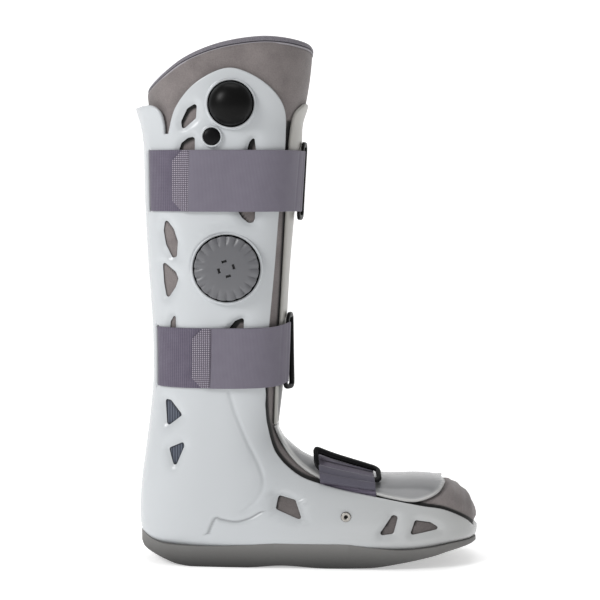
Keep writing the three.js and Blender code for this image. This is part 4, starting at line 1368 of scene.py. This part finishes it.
def liner_gap(co):
    """1 where the liner is painted with shade beside a piece over it, else 0.

    In a window it is the part that the window, moved away from the light, leaves uncovered.
    """
    points = co[:, [0, 2]]
    height = points[:, 1]
    dark = np.zeros(len(points))
    for polygon, shift in zip(windows, window_shifts):
        close = within_by(points, polygon) > -GAP_REACH
        lit = ease((within_by(points, polygon + shift) + 0.7) / 1.4)
        dark = np.where(close, np.maximum(dark, 1 - lit), dark)
    on_leg_part = (height < HIGH_TO) * (height > PANEL_FOOT)
    in_tray = np.max([within_by(points, polygon) for polygon in TRAY_WINDOWS], axis=0) > NEAR_WINDOW
    marks = [
        beside(points, shin_edge, np.where(height > HIGH_FROM, 6.0, 4.4), 1.4) * on_leg_part,
        beside(points, shin_edge, 1.6, 1.0) * (height <= PANEL_FOOT),
        beside(points, front_edge, 2.6, 1.2) * (height < PANEL_FOOT),
        beside(points, plate_line, 1.8, 1.0),
        FOOT_WINDOW_SHADE * in_tray,
    ]
    return np.maximum(dark, np.max(marks, axis=0))


def liner_net(co):
    """1 inside the two heel windows, where a dark net shows."""
    points = co[:, [0, 2]]
    return np.max([within_by(points, polygon) for polygon in HEEL_WINDOWS], axis=0) > NEAR_WINDOW


def on_outside(co):
    """1 for the points of the liner's outside, which come first, else 0."""
    return np.arange(len(co)) < outside.size // 3


paint(liner, "gap", lambda co: on_outside(co) * liner_gap(co))
paint(liner, "net", lambda co: on_outside(co) * liner_net(co))

# %% [markdown]
# ### The binding
# A folded tape is sewn round the liner's mouth, with a seam and a pale edge under it. A bevelled
# curve could be bent along the edge, but the tape has to stay level with the sloping mouth. So its
# section is a list of depths and drops, and every loop of it is laid on the form.

# %% The binding round its top edge
angle = np.linspace(0, 2 * np.pi, 260, endpoint=False)
out, into = LINER_OUT - BINDING_PROUD - 0.5, LINER_IN + BINDING_PROUD
half = (into - out) / 2
arc = np.linspace(0, np.pi, 11)
# From the outside's foot over the roll to the inside's foot: depths, and drops below the edge
insets = np.concatenate([
    [out + 1.2, out + 0.5, out + 0.1, out, out + 0.35, out + 0.35, out, out],
    (out + half) - half * np.cos(arc),
    [into, into, into - 1.2],
])
drops = np.concatenate([
    [BINDING_HEIGHT, BINDING_HEIGHT, BINDING_HEIGHT - 0.4, 5.0, 4.7, 4.1, 3.8, 3.0],
    2.6 - 2.6 * np.sin(arc) + 0.2,
    [4.5, BINDING_HEIGHT, BINDING_HEIGHT],
])
STITCH_DEPTH, STITCH_TURN = 0.12, 2.2
stitch = STITCH_DEPTH * np.sin(np.arange(len(angle)) * STITCH_TURN)
loops = []
for inset, drop in zip(insets, drops):
    dip = stitch if 4.0 < drop < 4.8 else 0
    loops.append(form(level(top_height(angle) - drop), angle, inset + dip))
binding = tube_piece(
    "liner_binding", np.array(loops), cap=False, merge=None, finish=binding_cloth, nodes=("liner_binding",),
    slot="binding_cloth",
)
# Painted shade along the seam's crease and under the tape's lower edge; the band between them is paler.
seam_shade = np.repeat((np.abs(drops - 4.4) < 0.35) * 1.0 + (drops > BINDING_HEIGHT - 0.1), len(angle))
light = np.repeat(((drops > 4.9) & (drops < BINDING_HEIGHT - 0.1)) * 1.0, len(angle))
paint(binding, "gap", lambda co: seam_shade)
paint(binding, "light", lambda co: light)

# %% [markdown]
# ## Straps and their loops
# Each real strap is a band of webbing that comes out of a slot, passes through a loop at the front,
# turns back on itself and is held by a tab of hook tape. Cloth simulation could drape it, but it is
# pulled tight, so its way is known. A strap is a flat band whose middle line is drawn as a path of
# two lengths: how far it has run along the boot, and how high it stands off it. The path turns
# round the loop's bars.

# %% Bands along a path
def along_path(path, step):
    """Even places on a smooth path of run and height, and the unit normals there."""
    line = smooth_line(path, step)
    tangent = np.gradient(line, axis=0)
    tangent /= np.hypot(*tangent.T)[:, None]
    return line, np.stack([-tangent[:, 1], tangent[:, 0]], 1)


def band(name, path, lay, half_width, half_wall, step=1.1, **options):
    """A band of cloth round a path; lay turns run, width and height into a place on the boot.

    Its section is a flat of 25 points each side with a half circle of 7 at each edge, set off the
    path by the path's own normal. Its UV map is the length gone and the width, in metres.
    """
    line, normal = along_path(path, step)
    width = half_width(line[:, 0]) if callable(half_width) else np.full(len(line), half_width)
    arc = np.linspace(-np.pi / 2, np.pi / 2, 9)[1:-1]
    flat, one, none = np.linspace(-1, 1, 25), np.ones(25), np.zeros(25)
    share = np.concatenate([flat, np.ones(7), -flat, -np.ones(7)])
    extra = np.concatenate([none, np.cos(arc), none, -np.cos(arc)]) * half_wall
    thick = np.concatenate([-one, np.sin(arc), one, -np.sin(arc)]) * half_wall
    across = share * (width[:, None] - half_wall) + extra
    runs = line[:, 0, None] + normal[:, 0, None] * thick
    heights = line[:, 1, None] + normal[:, 1, None] * thick
    obj = tube_piece(name, lay(runs, across, heights), merge=None, **options)
    gone = np.concatenate([[0], np.cumsum(np.hypot(*np.diff(line, axis=0).T))])
    uv = np.stack([np.broadcast_to(gone[:, None], across.shape), across], -1).reshape(-1, 2) * MM
    corner = np.zeros(len(obj.data.loops), int)
    obj.data.loops.foreach_get("vertex_index", corner)
    layer = obj.data.uv_layers.new(name="UVMap")
    layer.data.foreach_set("uv", uv[corner].astype(np.float32).ravel())
    return obj, gone[-1]


def running(line):
    """How far each point of a line in space lies along it."""
    return np.concatenate([[0], np.cumsum(np.linalg.norm(np.diff(line, axis=0), axis=1))])


# %% Places round the leg
TURN_POINTS = 4001
STRAP_LINE_OUT = 2.0


class Level:
    """Places on the leg round a level line: run is from the front mid-plane, positive near."""

    def __init__(self, middle):
        """The level line's running length, counted from the front, at even angles round the leg."""
        self.middle = middle
        self.angles = np.linspace(0, 2 * np.pi, TURN_POINTS)
        line = form(np.full(TURN_POINTS, level(middle)), self.angles, -STRAP_LINE_OUT)
        gone = running(line)
        self.runs = gone[TURN_POINTS // 2] - gone
        self.x, self.y = line[:, 0], line[:, 1]

    def run_at_x(self, x, near=True):
        """The run at which the line, on one side of the boot, is at an x."""
        half = TURN_POINTS // 2
        part = slice(0, half + 1) if near else slice(half, TURN_POINTS)
        x_line, run_line = self.x[part], self.runs[part]
        order = np.argsort(x_line)
        return float(np.interp(x, x_line[order], run_line[order]))

    def run_at_y(self, y):
        """The run at which the line crosses the front of the leg at a y."""
        front = slice(1400, 2601)
        return float(np.interp(y, self.y[front], self.runs[front]))

    def lay(self, run, width, height, lift=0.0):
        """The point at a run, a width up the leg from the middle, and a height off the skin."""
        angle = np.interp(-run, -self.runs, self.angles)
        return form(level(self.middle + width + lift), angle, -height)


# %% Sizes of the layers and the loops
BASE = GAP + STRAP_WALL / 2
OVER = BASE + STRAP_WALL
BAR = 4.4
RING_WALL = 2.6
RING_MIDDLE = 3.3
RING_CORNER = 4.2
FAR_BAR_THICKER = 0.6
SQUARENESS = 3.5
FOLD_HALF_WALL = 0.6
OVER_RING = RING_MIDDLE + RING_WALL / 2 + FOLD_HALF_WALL
RING_SPAN = 18.0
LEG_RING_FAR = -6.0
LEG_RING_ROOM = 3.0
TOE_RING_FAR = -9.0
TOE_RING_SPAN = 21.0
TOE_RING_SHIFT = 1.2
TOE_RING_ROOM = 0.6
TAB_WALL = 1.6
TAB_CHAMFER = 8.0
TAB_INSET = 0.3


# %% [markdown]
# ### The loops
# The loops are flat black rings with rounded corners. A torus pulled into a rectangle would thin
# at its corners, so a rounded square section is carried round a rounded rectangle instead.

# %% A loop
def ring(name, lay, near, far, half_height, raised):
    """A flat loop: a rounded bar carried round a rounded rectangle of run and width.

    raised takes the share of the way to the far bar and the width, and gives the extra height.
    """
    half = BAR / 2
    low, high = far + half, near - half
    box = [(low, -half_height), (high, -half_height), (high, half_height), (low, half_height)]
    path = rounded(box, RING_CORNER, 1.0)
    tangent = np.roll(path, -1, 0) - np.roll(path, 1, 0)
    tangent /= np.hypot(*tangent.T)[:, None]
    normal = np.stack([tangent[:, 1], -tangent[:, 0]], 1)
    turn = np.linspace(0, 2 * np.pi, 16, endpoint=False)
    square = (np.abs(np.cos(turn)) ** SQUARENESS + np.abs(np.sin(turn)) ** SQUARENESS) ** (-1 / SQUARENESS)
    u, v = half * square * np.cos(turn), RING_WALL / 2 * square * np.sin(turn)
    flat = path[:, None] + normal[:, None] * u[:, None]
    run, width = flat[..., 0], flat[..., 1]
    share = (high - run) / (high - low)
    rings = lay(run, width, RING_MIDDLE + v * (1 + FAR_BAR_THICKER * share) + raised(share, width))
    rings = np.concatenate([rings, rings[:1]])
    return tube_piece(name, rings, cap=False, finish=black_plastic, nodes=(name,), slot="black_plastic")


def round_bar(bar):
    """The start of a turned back layer: up behind a loop's near bar and over it."""
    return [(bar - 2.5, BASE + 1.2), (bar - 2.9, 3.4), (bar - 2.3, OVER_RING - 0.6), (bar, OVER_RING)]


# %% [markdown]
# ### The leg straps
# Each leg strap has a pile band from slot to slot, a smooth layer that turns back round the loop,
# a short layer under the far bar, a tab and a loop. The turned layer creases where it leaves the
# bar. Both straps are made alike, from a row of their own heights and leans.

# %% A leg strap
CREASES = (4.0, 12.5)
CREASE_DEPTH, CREASE_WIDTH = 0.45, 0.8
WAVE_HEIGHT = 0.25
RING_PULL = 38


def leg_strap(name, up, tab_from, tab_to, lift, lean, far_rise, far_lean):
    """One leg strap: its pile band from slot to slot, the layer turned round the loop, its tab.

    lift moves the turned layer up at the loop. lean and far_lean say how much more the loop's
    near and far bar stand off at their lower end, and far_rise how far the far bar stands out.
    """
    place = Level(ANKLE_HEIGHT + up * LEG_HEIGHT)
    slot_x = leg_point(SLOT_ACROSS, up)[0]
    near, far = place.run_at_x(slot_x), place.run_at_x(slot_x, False)
    bar_near = place.run_at_y(LEG_RING_FAR - RING_SPAN + BAR / 2)
    bar_far = place.run_at_y(LEG_RING_FAR - BAR / 2)
    half = STRAP_WIDTH / 2

    def near_ring(run):
        """1 at the loop's near bar, falling straight to 0."""
        return np.clip(1 - np.abs(run - bar_near) / RING_PULL, 0, 1)

    def lifted(run, width, height):
        """A place on the turned layer: a slow wave less a bell at each crease, leaning at the loop."""
        wave = WAVE_HEIGHT * np.sin(run / 9.0 + width / 19.0)
        for crease in CREASES:
            wave = wave - CREASE_DEPTH * bell(run - bar_near - crease, CREASE_WIDTH)
        wave = np.where(height > OVER - 1, wave, 0)
        tip = -lean * width / half * near_ring(run) ** 2
        return place.lay(run, width, height + wave + tip, lift * near_ring(run) ** 2)

    def raised(share, width):
        """How much further out the loop stands, at a share of the way to its far bar."""
        return far_rise * share - (lean + (far_lean - lean) * share) * width / half

    base_path = [
        (near - 0.6, -SHELL_WALL + 0.4), (near - 0.7, -1.6), (near - 1.2, 0.4), (near - 4.0, BASE),
        *[(r, BASE) for r in np.linspace(near - 12, far + 12, 24)],
        (far + 4.0, BASE), (far + 1.2, 0.4), (far + 0.7, -1.6), (far + 0.6, -SHELL_WALL + 0.4),
    ]
    base, base_length = band(
        f"{name}_strap", base_path, place.lay, half, STRAP_WALL / 2, finish=pile,
        nodes=(f"{name}_strap",), slot="webbing",
    )
    tab_start, tab_end = [place.run_at_x(leg_point(across, up)[0]) for across in (tab_from, tab_to)]
    over_path = [
        *round_bar(bar_near),
        (bar_near + 3.0, OVER_RING - 0.4), (bar_near + 8, OVER + 0.9), (bar_near + 13, OVER + 0.3),
        *[(r, OVER) for r in np.linspace(bar_near + 19, tab_end - 0.4, 12)],
    ]
    over, over_length = band(
        f"{name}_strap_over", over_path, lifted, half, FOLD_HALF_WALL, finish=webbing, slot="webbing",
    )
    back_path = [
        (bar_far + 1.5, OVER), (bar_far - 3.0, OVER + 0.2), (bar_far - 8, OVER), (bar_far - 14, OVER),
        (bar_far - 20, OVER), (bar_far - 26, OVER - 0.2),
    ]
    band(f"{name}_strap_back", back_path, place.lay, half, FOLD_HALF_WALL, finish=webbing, slot="webbing")

    def tab_half(run):
        """Half the tab's width: cut back in straight chamfers at its end."""
        into = np.clip((tab_start - run) / TAB_CHAMFER, 0, 1)
        return half - TAB_INSET - TAB_CHAMFER * (1 - into)

    tab_path = [(r, OVER + 0.15) for r in np.linspace(tab_start, tab_end - 0.6, 8)]
    band(
        f"{name}_tab", tab_path, place.lay, tab_half, TAB_WALL / 2, step=0.8, finish=hook_grid,
        nodes=(f"{name}_tab",), slot="hook_grid",
    )
    ring_near, ring_far = place.run_at_y(LEG_RING_FAR - RING_SPAN), place.run_at_y(LEG_RING_FAR)
    ring(
        f"{name}_ring", lambda run, width, height: place.lay(run, width, height, lift), ring_near, ring_far,
        half + LEG_RING_ROOM + BAR / 2, raised,
    )
    return base, base_length, over, over_length


# %% Both leg straps
# Columns: name, up, tab_from, tab_to, lift, lean, far_rise, far_lean
for name, *values in (
    ("upper", UPPER_STRAP_UP, 0.218, 0.312, 0.0, 1.0, 1.0, 1.3),
    ("lower", LOWER_STRAP_UP, 0.328, 0.452, 3.4, 0.6, 2.2, 1.8),
):
    base, base_length, over, over_length = leg_strap(name, *values)

# %% [markdown]
# ### The toe strap
# The toe strap crosses the tongue plate in a plane that leans back, and dives inside the shell's
# rim at both sides. Halving finds each of its points, as the rib at which the form meets the plane.

# %% The toe strap's plane
TOE_STRAP_WIDTH = 46.0
TOE_STRAP_LEAN = 0.08
TOE_FLAP_RISE = 7.0
toe_middle = foot_point(0.612, 0)[0]
FOOT_LOW, FOOT_HIGH = len(LEG_RIBS) + 5.0, len(LEG_RIBS) + 15.0


def on_foot_plane(width, angle, height, rounds=30):
    """The point of the foot's form at an angle, in the leaning plane that lies width from the middle."""
    low, high = np.full(angle.shape, FOOT_LOW), np.full(angle.shape, FOOT_HIGH)
    for _ in range(rounds):
        t = (low + high) / 2
        p = form(t, angle, -height)
        short = p[..., 0] < toe_middle + width - TOE_STRAP_LEAN * (p[..., 2] - FOOT_HEIGHT / 2)
        low, high = np.where(short, t, low), np.where(short, high, t)
    return form((low + high) / 2, angle, -height)


TOE_POINTS = 1201
toe_angles = np.linspace(0.15 * np.pi, 1.85 * np.pi, TOE_POINTS)
toe_line = on_foot_plane(np.zeros(TOE_POINTS), toe_angles, np.full(TOE_POINTS, STRAP_LINE_OUT))
toe_gone = running(toe_line)
toe_runs = toe_gone[TOE_POINTS // 2] - toe_gone


# %% Places round the foot
def lay_toe(run, width, height):
    """The point at a run from the top, a width along the foot, and a height off the skin."""
    return on_foot_plane(width, np.interp(-run, -toe_runs, toe_angles), height)


def toe_run_at(value, column, near=True):
    """The run at which the line, on one side of the foot, has a value in a column: 1 for Y, 2 for Z."""
    half = TOE_POINTS // 2
    part = slice(0, half + 1) if near else slice(half, TOE_POINTS)
    order = np.argsort(toe_line[part, column])
    return float(np.interp(value, toe_line[part, column][order], toe_runs[part][order]))


def lay_toe_base(run, width, height):
    """The base band: over the plate, and eased down inside the rim at both sides."""
    p = lay_toe(run, width, np.full_like(run, BASE))
    rise = signed_side(p[..., [0, 2]].reshape(-1, 2), rim_line).reshape(run.shape)
    tucked = -(SHELL_WALL + GAP + STRAP_WALL / 2)
    seat = tucked + (BASE - tucked) * ease((rise - 0.2) / 3.4)
    return lay_toe(run, width, seat + height - BASE)


# %% The toe strap, its turned layers and its loop
TOE_STRAP_LOW = 0.31 * FOOT_HEIGHT
low_near, low_far = toe_run_at(TOE_STRAP_LOW, 2), toe_run_at(TOE_STRAP_LOW, 2, False)
toe_base, toe_base_length = band(
    "toe_strap", [(r, BASE) for r in np.linspace(low_near, low_far, 40)], lay_toe_base,
    TOE_STRAP_WIDTH / 2, STRAP_WALL / 2, finish=pile, nodes=("toe_strap",), slot="webbing",
)
toe_ring_far = toe_run_at(TOE_RING_FAR, 1)
toe_near = toe_ring_far + TOE_RING_SPAN - BAR / 2
toe_far = toe_run_at(TOE_RING_FAR - BAR / 2, 1)
flap_end = toe_run_at(np.interp(toe_middle, *rim_line.T) + TOE_FLAP_RISE, 2)
# The turned layer is in darker webbing, painted shade, as it faces down and away from the light.
toe_over, toe_over_length = band(
    "toe_strap_over",
    [
        *round_bar(toe_near),
        (toe_near + 3.0, OVER_RING - 0.3), (toe_near + 6.0, OVER + 1.2), (toe_near + 9.5, OVER + 0.6),
        (toe_near + 13, OVER + 0.8), (flap_end, OVER + 2.6),
    ],
    lay_toe, TOE_STRAP_WIDTH / 2, FOLD_HALF_WALL, finish=shaded_webbing, slot="webbing",
)
band(
    "toe_strap_back",
    [
        (toe_far + 1.5, OVER), (toe_far - 3.0, OVER + 0.3), (toe_far - 8, OVER + 0.1), (toe_far - 14, OVER),
        (toe_far - 20, OVER - 0.2),
    ],
    lay_toe, TOE_STRAP_WIDTH / 2, STRAP_WALL / 2, finish=webbing, slot="webbing",
)
TOE_FAR_RISE, TOE_FAR_LEAN = 4.2, 0.07
ring(
    "toe_ring", lambda run, width, height: lay_toe(run, width + TOE_RING_SHIFT, height),
    toe_ring_far + TOE_RING_SPAN, toe_ring_far, TOE_STRAP_WIDTH / 2 + TOE_RING_ROOM + BAR / 2,
    lambda share, width: (TOE_FAR_RISE - TOE_FAR_LEAN * width) * share,
)

# %% [markdown]
# ## Bulb and button
# The real bulb is a rubber dome that is squeezed to pump air into the liner, and the button under
# it lets the air out. A sphere cut in half would have no foot and no crisp lip. Both are profiles
# of radius and height, turned round a level axis.

# %% Turned pieces
HUB = 0.02


def turned(name, centre, seat, profile, sides=96, sign=-1, **options):
    """A profile of radius and height turned round a level axis on one side of the boot."""
    turn = np.linspace(0, 2 * np.pi, sides, endpoint=False)
    loops = [round_loop(centre, radius, sign * (abs(seat) + height), turn) for radius, height in profile]
    return tube_piece(name, np.array(loops), cap=True, **options)


# %% The bulb and the button
rise = np.linspace(0, np.pi / 2, 22)
BULB_FULLNESS, BUTTON_FULLNESS = 0.92, 0.9
DOME_INSET, CAP_DROP, CAP_RISE = 0.5, 2.2, 2.0
dome = [(HUB, 0), (BULB_RADIUS - 0.4, 0), (BULB_RADIUS, 0.5), (BULB_RADIUS, BULB_LIP - 0.4)]
for a in rise:
    out = max((BULB_RADIUS - DOME_INSET) * np.cos(a) ** BULB_FULLNESS, HUB)
    dome.append((out, BULB_LIP + (BULB_HEIGHT - BULB_LIP) * np.sin(a)))
turned(
    "pump_bulb", bulb_at, bulb_floor - GAP, dome,
    finish=black_rubber, nodes=("pump_bulb",), slot="black_rubber",
)
press = [(HUB, 0), (BUTTON_RADIUS, 0), (BUTTON_RADIUS, BUTTON_HEIGHT - CAP_DROP)]
for a in rise:
    out = max(BUTTON_RADIUS * np.cos(a) ** BUTTON_FULLNESS, HUB)
    press.append((out, BUTTON_HEIGHT - CAP_RISE + CAP_RISE * np.sin(a)))
turned(
    "release_button", button_at, button_floor - GAP - BUTTON_TRAVEL, press, 64,
    finish=black_plastic, body="button", nodes=("release_button",), slot="black_plastic",
)

# %% [markdown]
# ## The dial
# The dial is a low domed knob with grips round its rim and four slots round its middle. Twenty
# grips could be twenty cutters. Drawn in polar coordinates instead, its height is one sum: a dome,
# less a valley between the grips that deepens towards the rim, less four sunk slots.

# %% The dial's height
FINS, FIN_DEPTH, FIN_FULLNESS = 20, 1.6, 0.7
VALLEY_FROM, VALLEY_WIDTH = 0.62, 0.30
DOME_FALL, DIAL_DROP, DIAL_EDGE = 2.0, 0.5, 0.9
SLOTS, FIRST_SLOT, SLOT_AWAY = 4, 106, 6.2
SLOT_HALF_LENGTH, SLOT_HALF_WIDTH, SLOT_FADE, SLOT_SINK = 2.1, 1.05, 0.35, 2.2
GRIP_DEPTH = 0.45
DIAL_SIDES, DIAL_RINGS = 480, 60
DIAL_SEEN = DIAL_RADIUS - 0.6
turn = np.linspace(0, 2 * np.pi, DIAL_SIDES, endpoint=False)
radius = np.linspace(HUB, 1, DIAL_RINGS)[:, None] * (DIAL_SEEN - DIAL_EDGE)
dome = DIAL_HEIGHT - DOME_FALL * (radius / DIAL_RADIUS) ** 3 - DIAL_DROP
fin = np.abs(np.sin(turn * FINS / 2)) ** FIN_FULLNESS
valley = ease((radius / DIAL_RADIUS - VALLEY_FROM) / VALLEY_WIDTH)
height = dome - FIN_DEPTH * valley * (1 - fin)
holes = np.zeros_like(height)
for quarter in range(SLOTS):
    middle = np.radians(FIRST_SLOT - 360 / SLOTS * quarter)
    gone = (turn - middle + np.pi) % (2 * np.pi) - np.pi
    x, z = radius * np.sin(gone), radius * np.cos(gone) - SLOT_AWAY
    along, across = (SLOT_HALF_LENGTH - np.abs(x)) / SLOT_FADE, (SLOT_HALF_WIDTH - np.abs(z)) / SLOT_FADE
    hole = ease(along) * ease(across)
    height = height - SLOT_SINK * hole
    holes = np.maximum(holes, hole)

# %% The dial
# Columns: how far out on the rounded edge, and how far down
DIAL_EDGE_LOOPS = ((0.35, 0.08), (0.65, 0.30), (0.85, 0.62), (0.9, 1.0))
seat = dial_floor - GAP
grips = GRIP_DEPTH * (1 - fin)
loops = [round_loop(dial_at, ring_radius, seat - rises, turn) for ring_radius, rises in zip(radius, height)]
for out, drop in DIAL_EDGE_LOOPS:
    edge_radius = DIAL_SEEN - DIAL_EDGE + out - grips * (out / DIAL_EDGE)
    loops.append(round_loop(dial_at, edge_radius, seat - height[-1] + drop, turn))
loops.append(round_loop(dial_at, DIAL_SEEN - grips, seat, turn))
# The slots are painted with deep shade.
holes = np.concatenate([holes.ravel(), np.zeros((len(loops) - DIAL_RINGS) * DIAL_SIDES)])
tube_piece(
    "dial", np.array(loops), cap=True, gap=holes, finish=grey_plastic, body="dial", nodes=("dial",),
    slot="grey_plastic",
)

# %% [markdown]
# ## The rivets
# A rivet at the ball of the foot holds each end of the toe strap. Its head is another turned
# profile, with a socket in its middle. Painted shade darkens the socket and a ring round its rim.

# %% The rivets
RIVET_HEAD, RIVET_RISE, RIVET_FOOT = 4.2, 1.3, -0.6
RIVET_PROUD = 0.25
SOCKET_RADIUS, RIM_FROM = 1.7, 3.7
rivet_skin = abs(float(skin_y(*rivet_at)))


def rivet_dark(radius):
    """Painted shade in the socket and round the rim, eased at both."""
    return np.maximum(ease((SOCKET_RADIUS - radius) / 0.3), ease((radius - RIM_FROM) / 0.4))


def rivet_shade(co):
    """The darkness at points, by their distance from the rivet's axis."""
    return rivet_dark(np.hypot(*(co[:, [0, 2]] - rivet_at).T))


for sign, name in ((-1, "rivet_near"), (1, "rivet_far")):
    head = [(HUB, 0.45), (1.3, 0.45), (1.5, 0.75), (1.9, RIVET_RISE)]
    head += [(RIVET_HEAD - 1 + np.sin(a), RIVET_RISE - 1 + np.cos(a)) for a in np.linspace(0, np.pi / 2, 6)]
    head += [(RIVET_HEAD, RIVET_FOOT), (HUB, RIVET_FOOT)]
    rivet = turned(
        name, rivet_at, rivet_skin + RIVET_PROUD, head[::-1], 48, sign, finish=rivet_metal, nodes=(name,),
        slot="rivet_metal",
    )
    paint(rivet, "gap", rivet_shade)

# %% [markdown]
# ## The rocker sole
# The sole is a grey rubber rocker, thick under the arch and thin at both ends, with shallow
# grooves underneath. It could be a thickened sheet, but its top has to take the shell exactly. So
# it is a block carried along upright sections, with a rounded lower edge, and the shell's form, a
# little enlarged, is cut out of it with a boolean.

# %% The sole's sections
# Columns: along, floor, rim, side
SOLE = np.array([
    (0.0060, 0.130, 0.225, 0.160), (0.0155, 0.104, 0.210, 0.300), (0.0410, 0.076, 0.175, 0.470),
    (0.0800, 0.040, 0.152, 0.610), (0.1180, 0.010, 0.148, 0.670), (0.1600, 0.000, 0.147, 0.730),
    (0.3100, 0.000, 0.160, 0.810), (0.4200, 0.016, 0.184, 0.845), (0.5450, 0.000, 0.196, 0.885),
    (0.6650, 0.008, 0.157, 0.945), (0.7600, 0.045, 0.141, 0.990), (0.8500, 0.090, 0.157, 0.955),
    (0.9000, 0.120, 0.175, 0.860), (0.9450, 0.138, 0.182, 0.690), (0.9720, 0.146, 0.182, 0.500),
    (0.9860, 0.152, 0.182, 0.340),
])
SOLE_PROUD = 1.4
SOLE_EDGE = 3.0
TINY = 1e-12


def monotone(x, columns, places):
    """Smooth curves through table rows that never overshoot them.

    The slope at a row is the harmonic mean of the slopes beside it, or 0 where they turn. Between
    rows runs the cubic that has the rows' values and slopes.
    """
    h = np.diff(x)
    made = []
    for values in columns.T:
        d = np.diff(values) / h
        harmonic = 2 / (1 / (d[:-1] + TINY) + 1 / (d[1:] + TINY))
        m = np.concatenate([[d[0]], np.where(d[:-1] * d[1:] > 0, harmonic, 0), [d[-1]]])
        i = np.clip(np.searchsorted(x, places) - 1, 0, len(h) - 1)
        s = (places - x[i]) / h[i]
        made.append(
            values[i] * (1 + 2 * s) * (1 - s) ** 2 + m[i] * h[i] * s * (1 - s) ** 2
            + values[i + 1] * s**2 * (3 - 2 * s) + m[i + 1] * h[i] * s**2 * (s - 1)
        )
    return np.array(made)


along = np.unique(np.concatenate([np.linspace(SOLE[0, 0], SOLE[-1, 0], 150), SOLE[:4, 0], SOLE[-4:, 0]]))
floor_z, rim_z, half_side = monotone(SOLE[:, 0], SOLE[:, 1:], along)
x = along * FOOT_LENGTH - HEEL_BACK
low, high = floor_z * FOOT_HEIGHT, rim_z * FOOT_HEIGHT
half_side = half_side * BALL_WIDTH / 2 + SOLE_PROUD
EDGE_SHARE = 2.2
bend = np.minimum(np.minimum(SOLE_EDGE, (high - low) / EDGE_SHARE), half_side / EDGE_SHARE)

# %% The sole's block
GROOVE_PITCH, GROOVE_DEPTH, GROOVE_END = 9.0, 1.2, 0.86
ACROSS = 31
under = np.linspace(-1, 1, ACROSS)
arc = np.linspace(0, np.pi / 2, 6)
in_pitch = ease((np.cos(2 * np.pi * x / GROOVE_PITCH) - 0.35) / 0.3) * ease((half_side - 12) / 6)
across_sole = ease((GROOVE_END - np.abs(under)) / 0.06) * (np.abs(under) > 0.06)
loops = []
for i in range(len(along)):
    e, h = bend[i], half_side[i]
    bottom = np.stack([under * (h - e), low[i] + GROOVE_DEPTH * in_pitch[i] * across_sole], 1)
    corner = np.stack([h - e + e * np.sin(arc), low[i] + e - e * np.cos(arc)], 1)[1:]
    top = np.array([(h, high[i] - 0.5), (h - 0.4, high[i]), (h * 0.5, high[i] + 1.5)])
    section = np.concatenate([bottom, corner, top, (top * (-1, 1))[::-1], (corner * (-1, 1))[::-1]])
    loops.append(np.column_stack([np.full(len(section), x[i]), section]))
sole = tube_piece("sole", np.array(loops), finish=sole_rubber, nodes=("sole",), slot="sole_rubber")

# %% The seat for the shell, cut out of the block
SEAT_ROOM = 0.15
SEAT_FROM_RIB = 12
CUT_ROWS, CUT_SIDES = 260, 128
SHARP_ANGLE = 40
cut_t = np.interp(np.linspace(RIB_RUN[SEAT_FROM_RIB], RIB_RUN[-1], CUT_ROWS), RIB_RUN, np.arange(len(RIBS)))
cut_angle = np.linspace(0, 2 * np.pi, CUT_SIDES, endpoint=False)
cut_grid = form(cut_t[:, None], cut_angle[None], -SEAT_ROOM)
cutter_mesh = bpy.data.meshes.new("cutter")
cutter_faces = grid_faces(CUT_ROWS, CUT_SIDES, wrap=True).tolist() + [list(range(CUT_SIDES))[::-1]]
cutter_mesh.from_pydata((cut_grid.reshape(-1, 3) * MM).tolist(), [], cutter_faces)
cleaned(cutter_mesh)
cutter = bpy.data.objects.new("cutter", cutter_mesh)
bpy.context.scene.collection.objects.link(cutter)
modifier = sole.modifiers.new("seat", "BOOLEAN")
modifier.operation = "DIFFERENCE"
modifier.solver = "EXACT"
modifier.object = cutter
seen = bpy.context.evaluated_depsgraph_get()
shaped = bpy.data.meshes.new_from_object(sole.evaluated_get(seen))
sole.modifiers.clear()
sole.data = shaped
bpy.data.objects.remove(cutter)
shaped.polygons.foreach_set("use_smooth", [True] * len(shaped.polygons))
shaped.set_sharp_from_angle(angle=np.radians(SHARP_ANGLE))
print("sole", len(shaped.polygons), "faces with its seat")
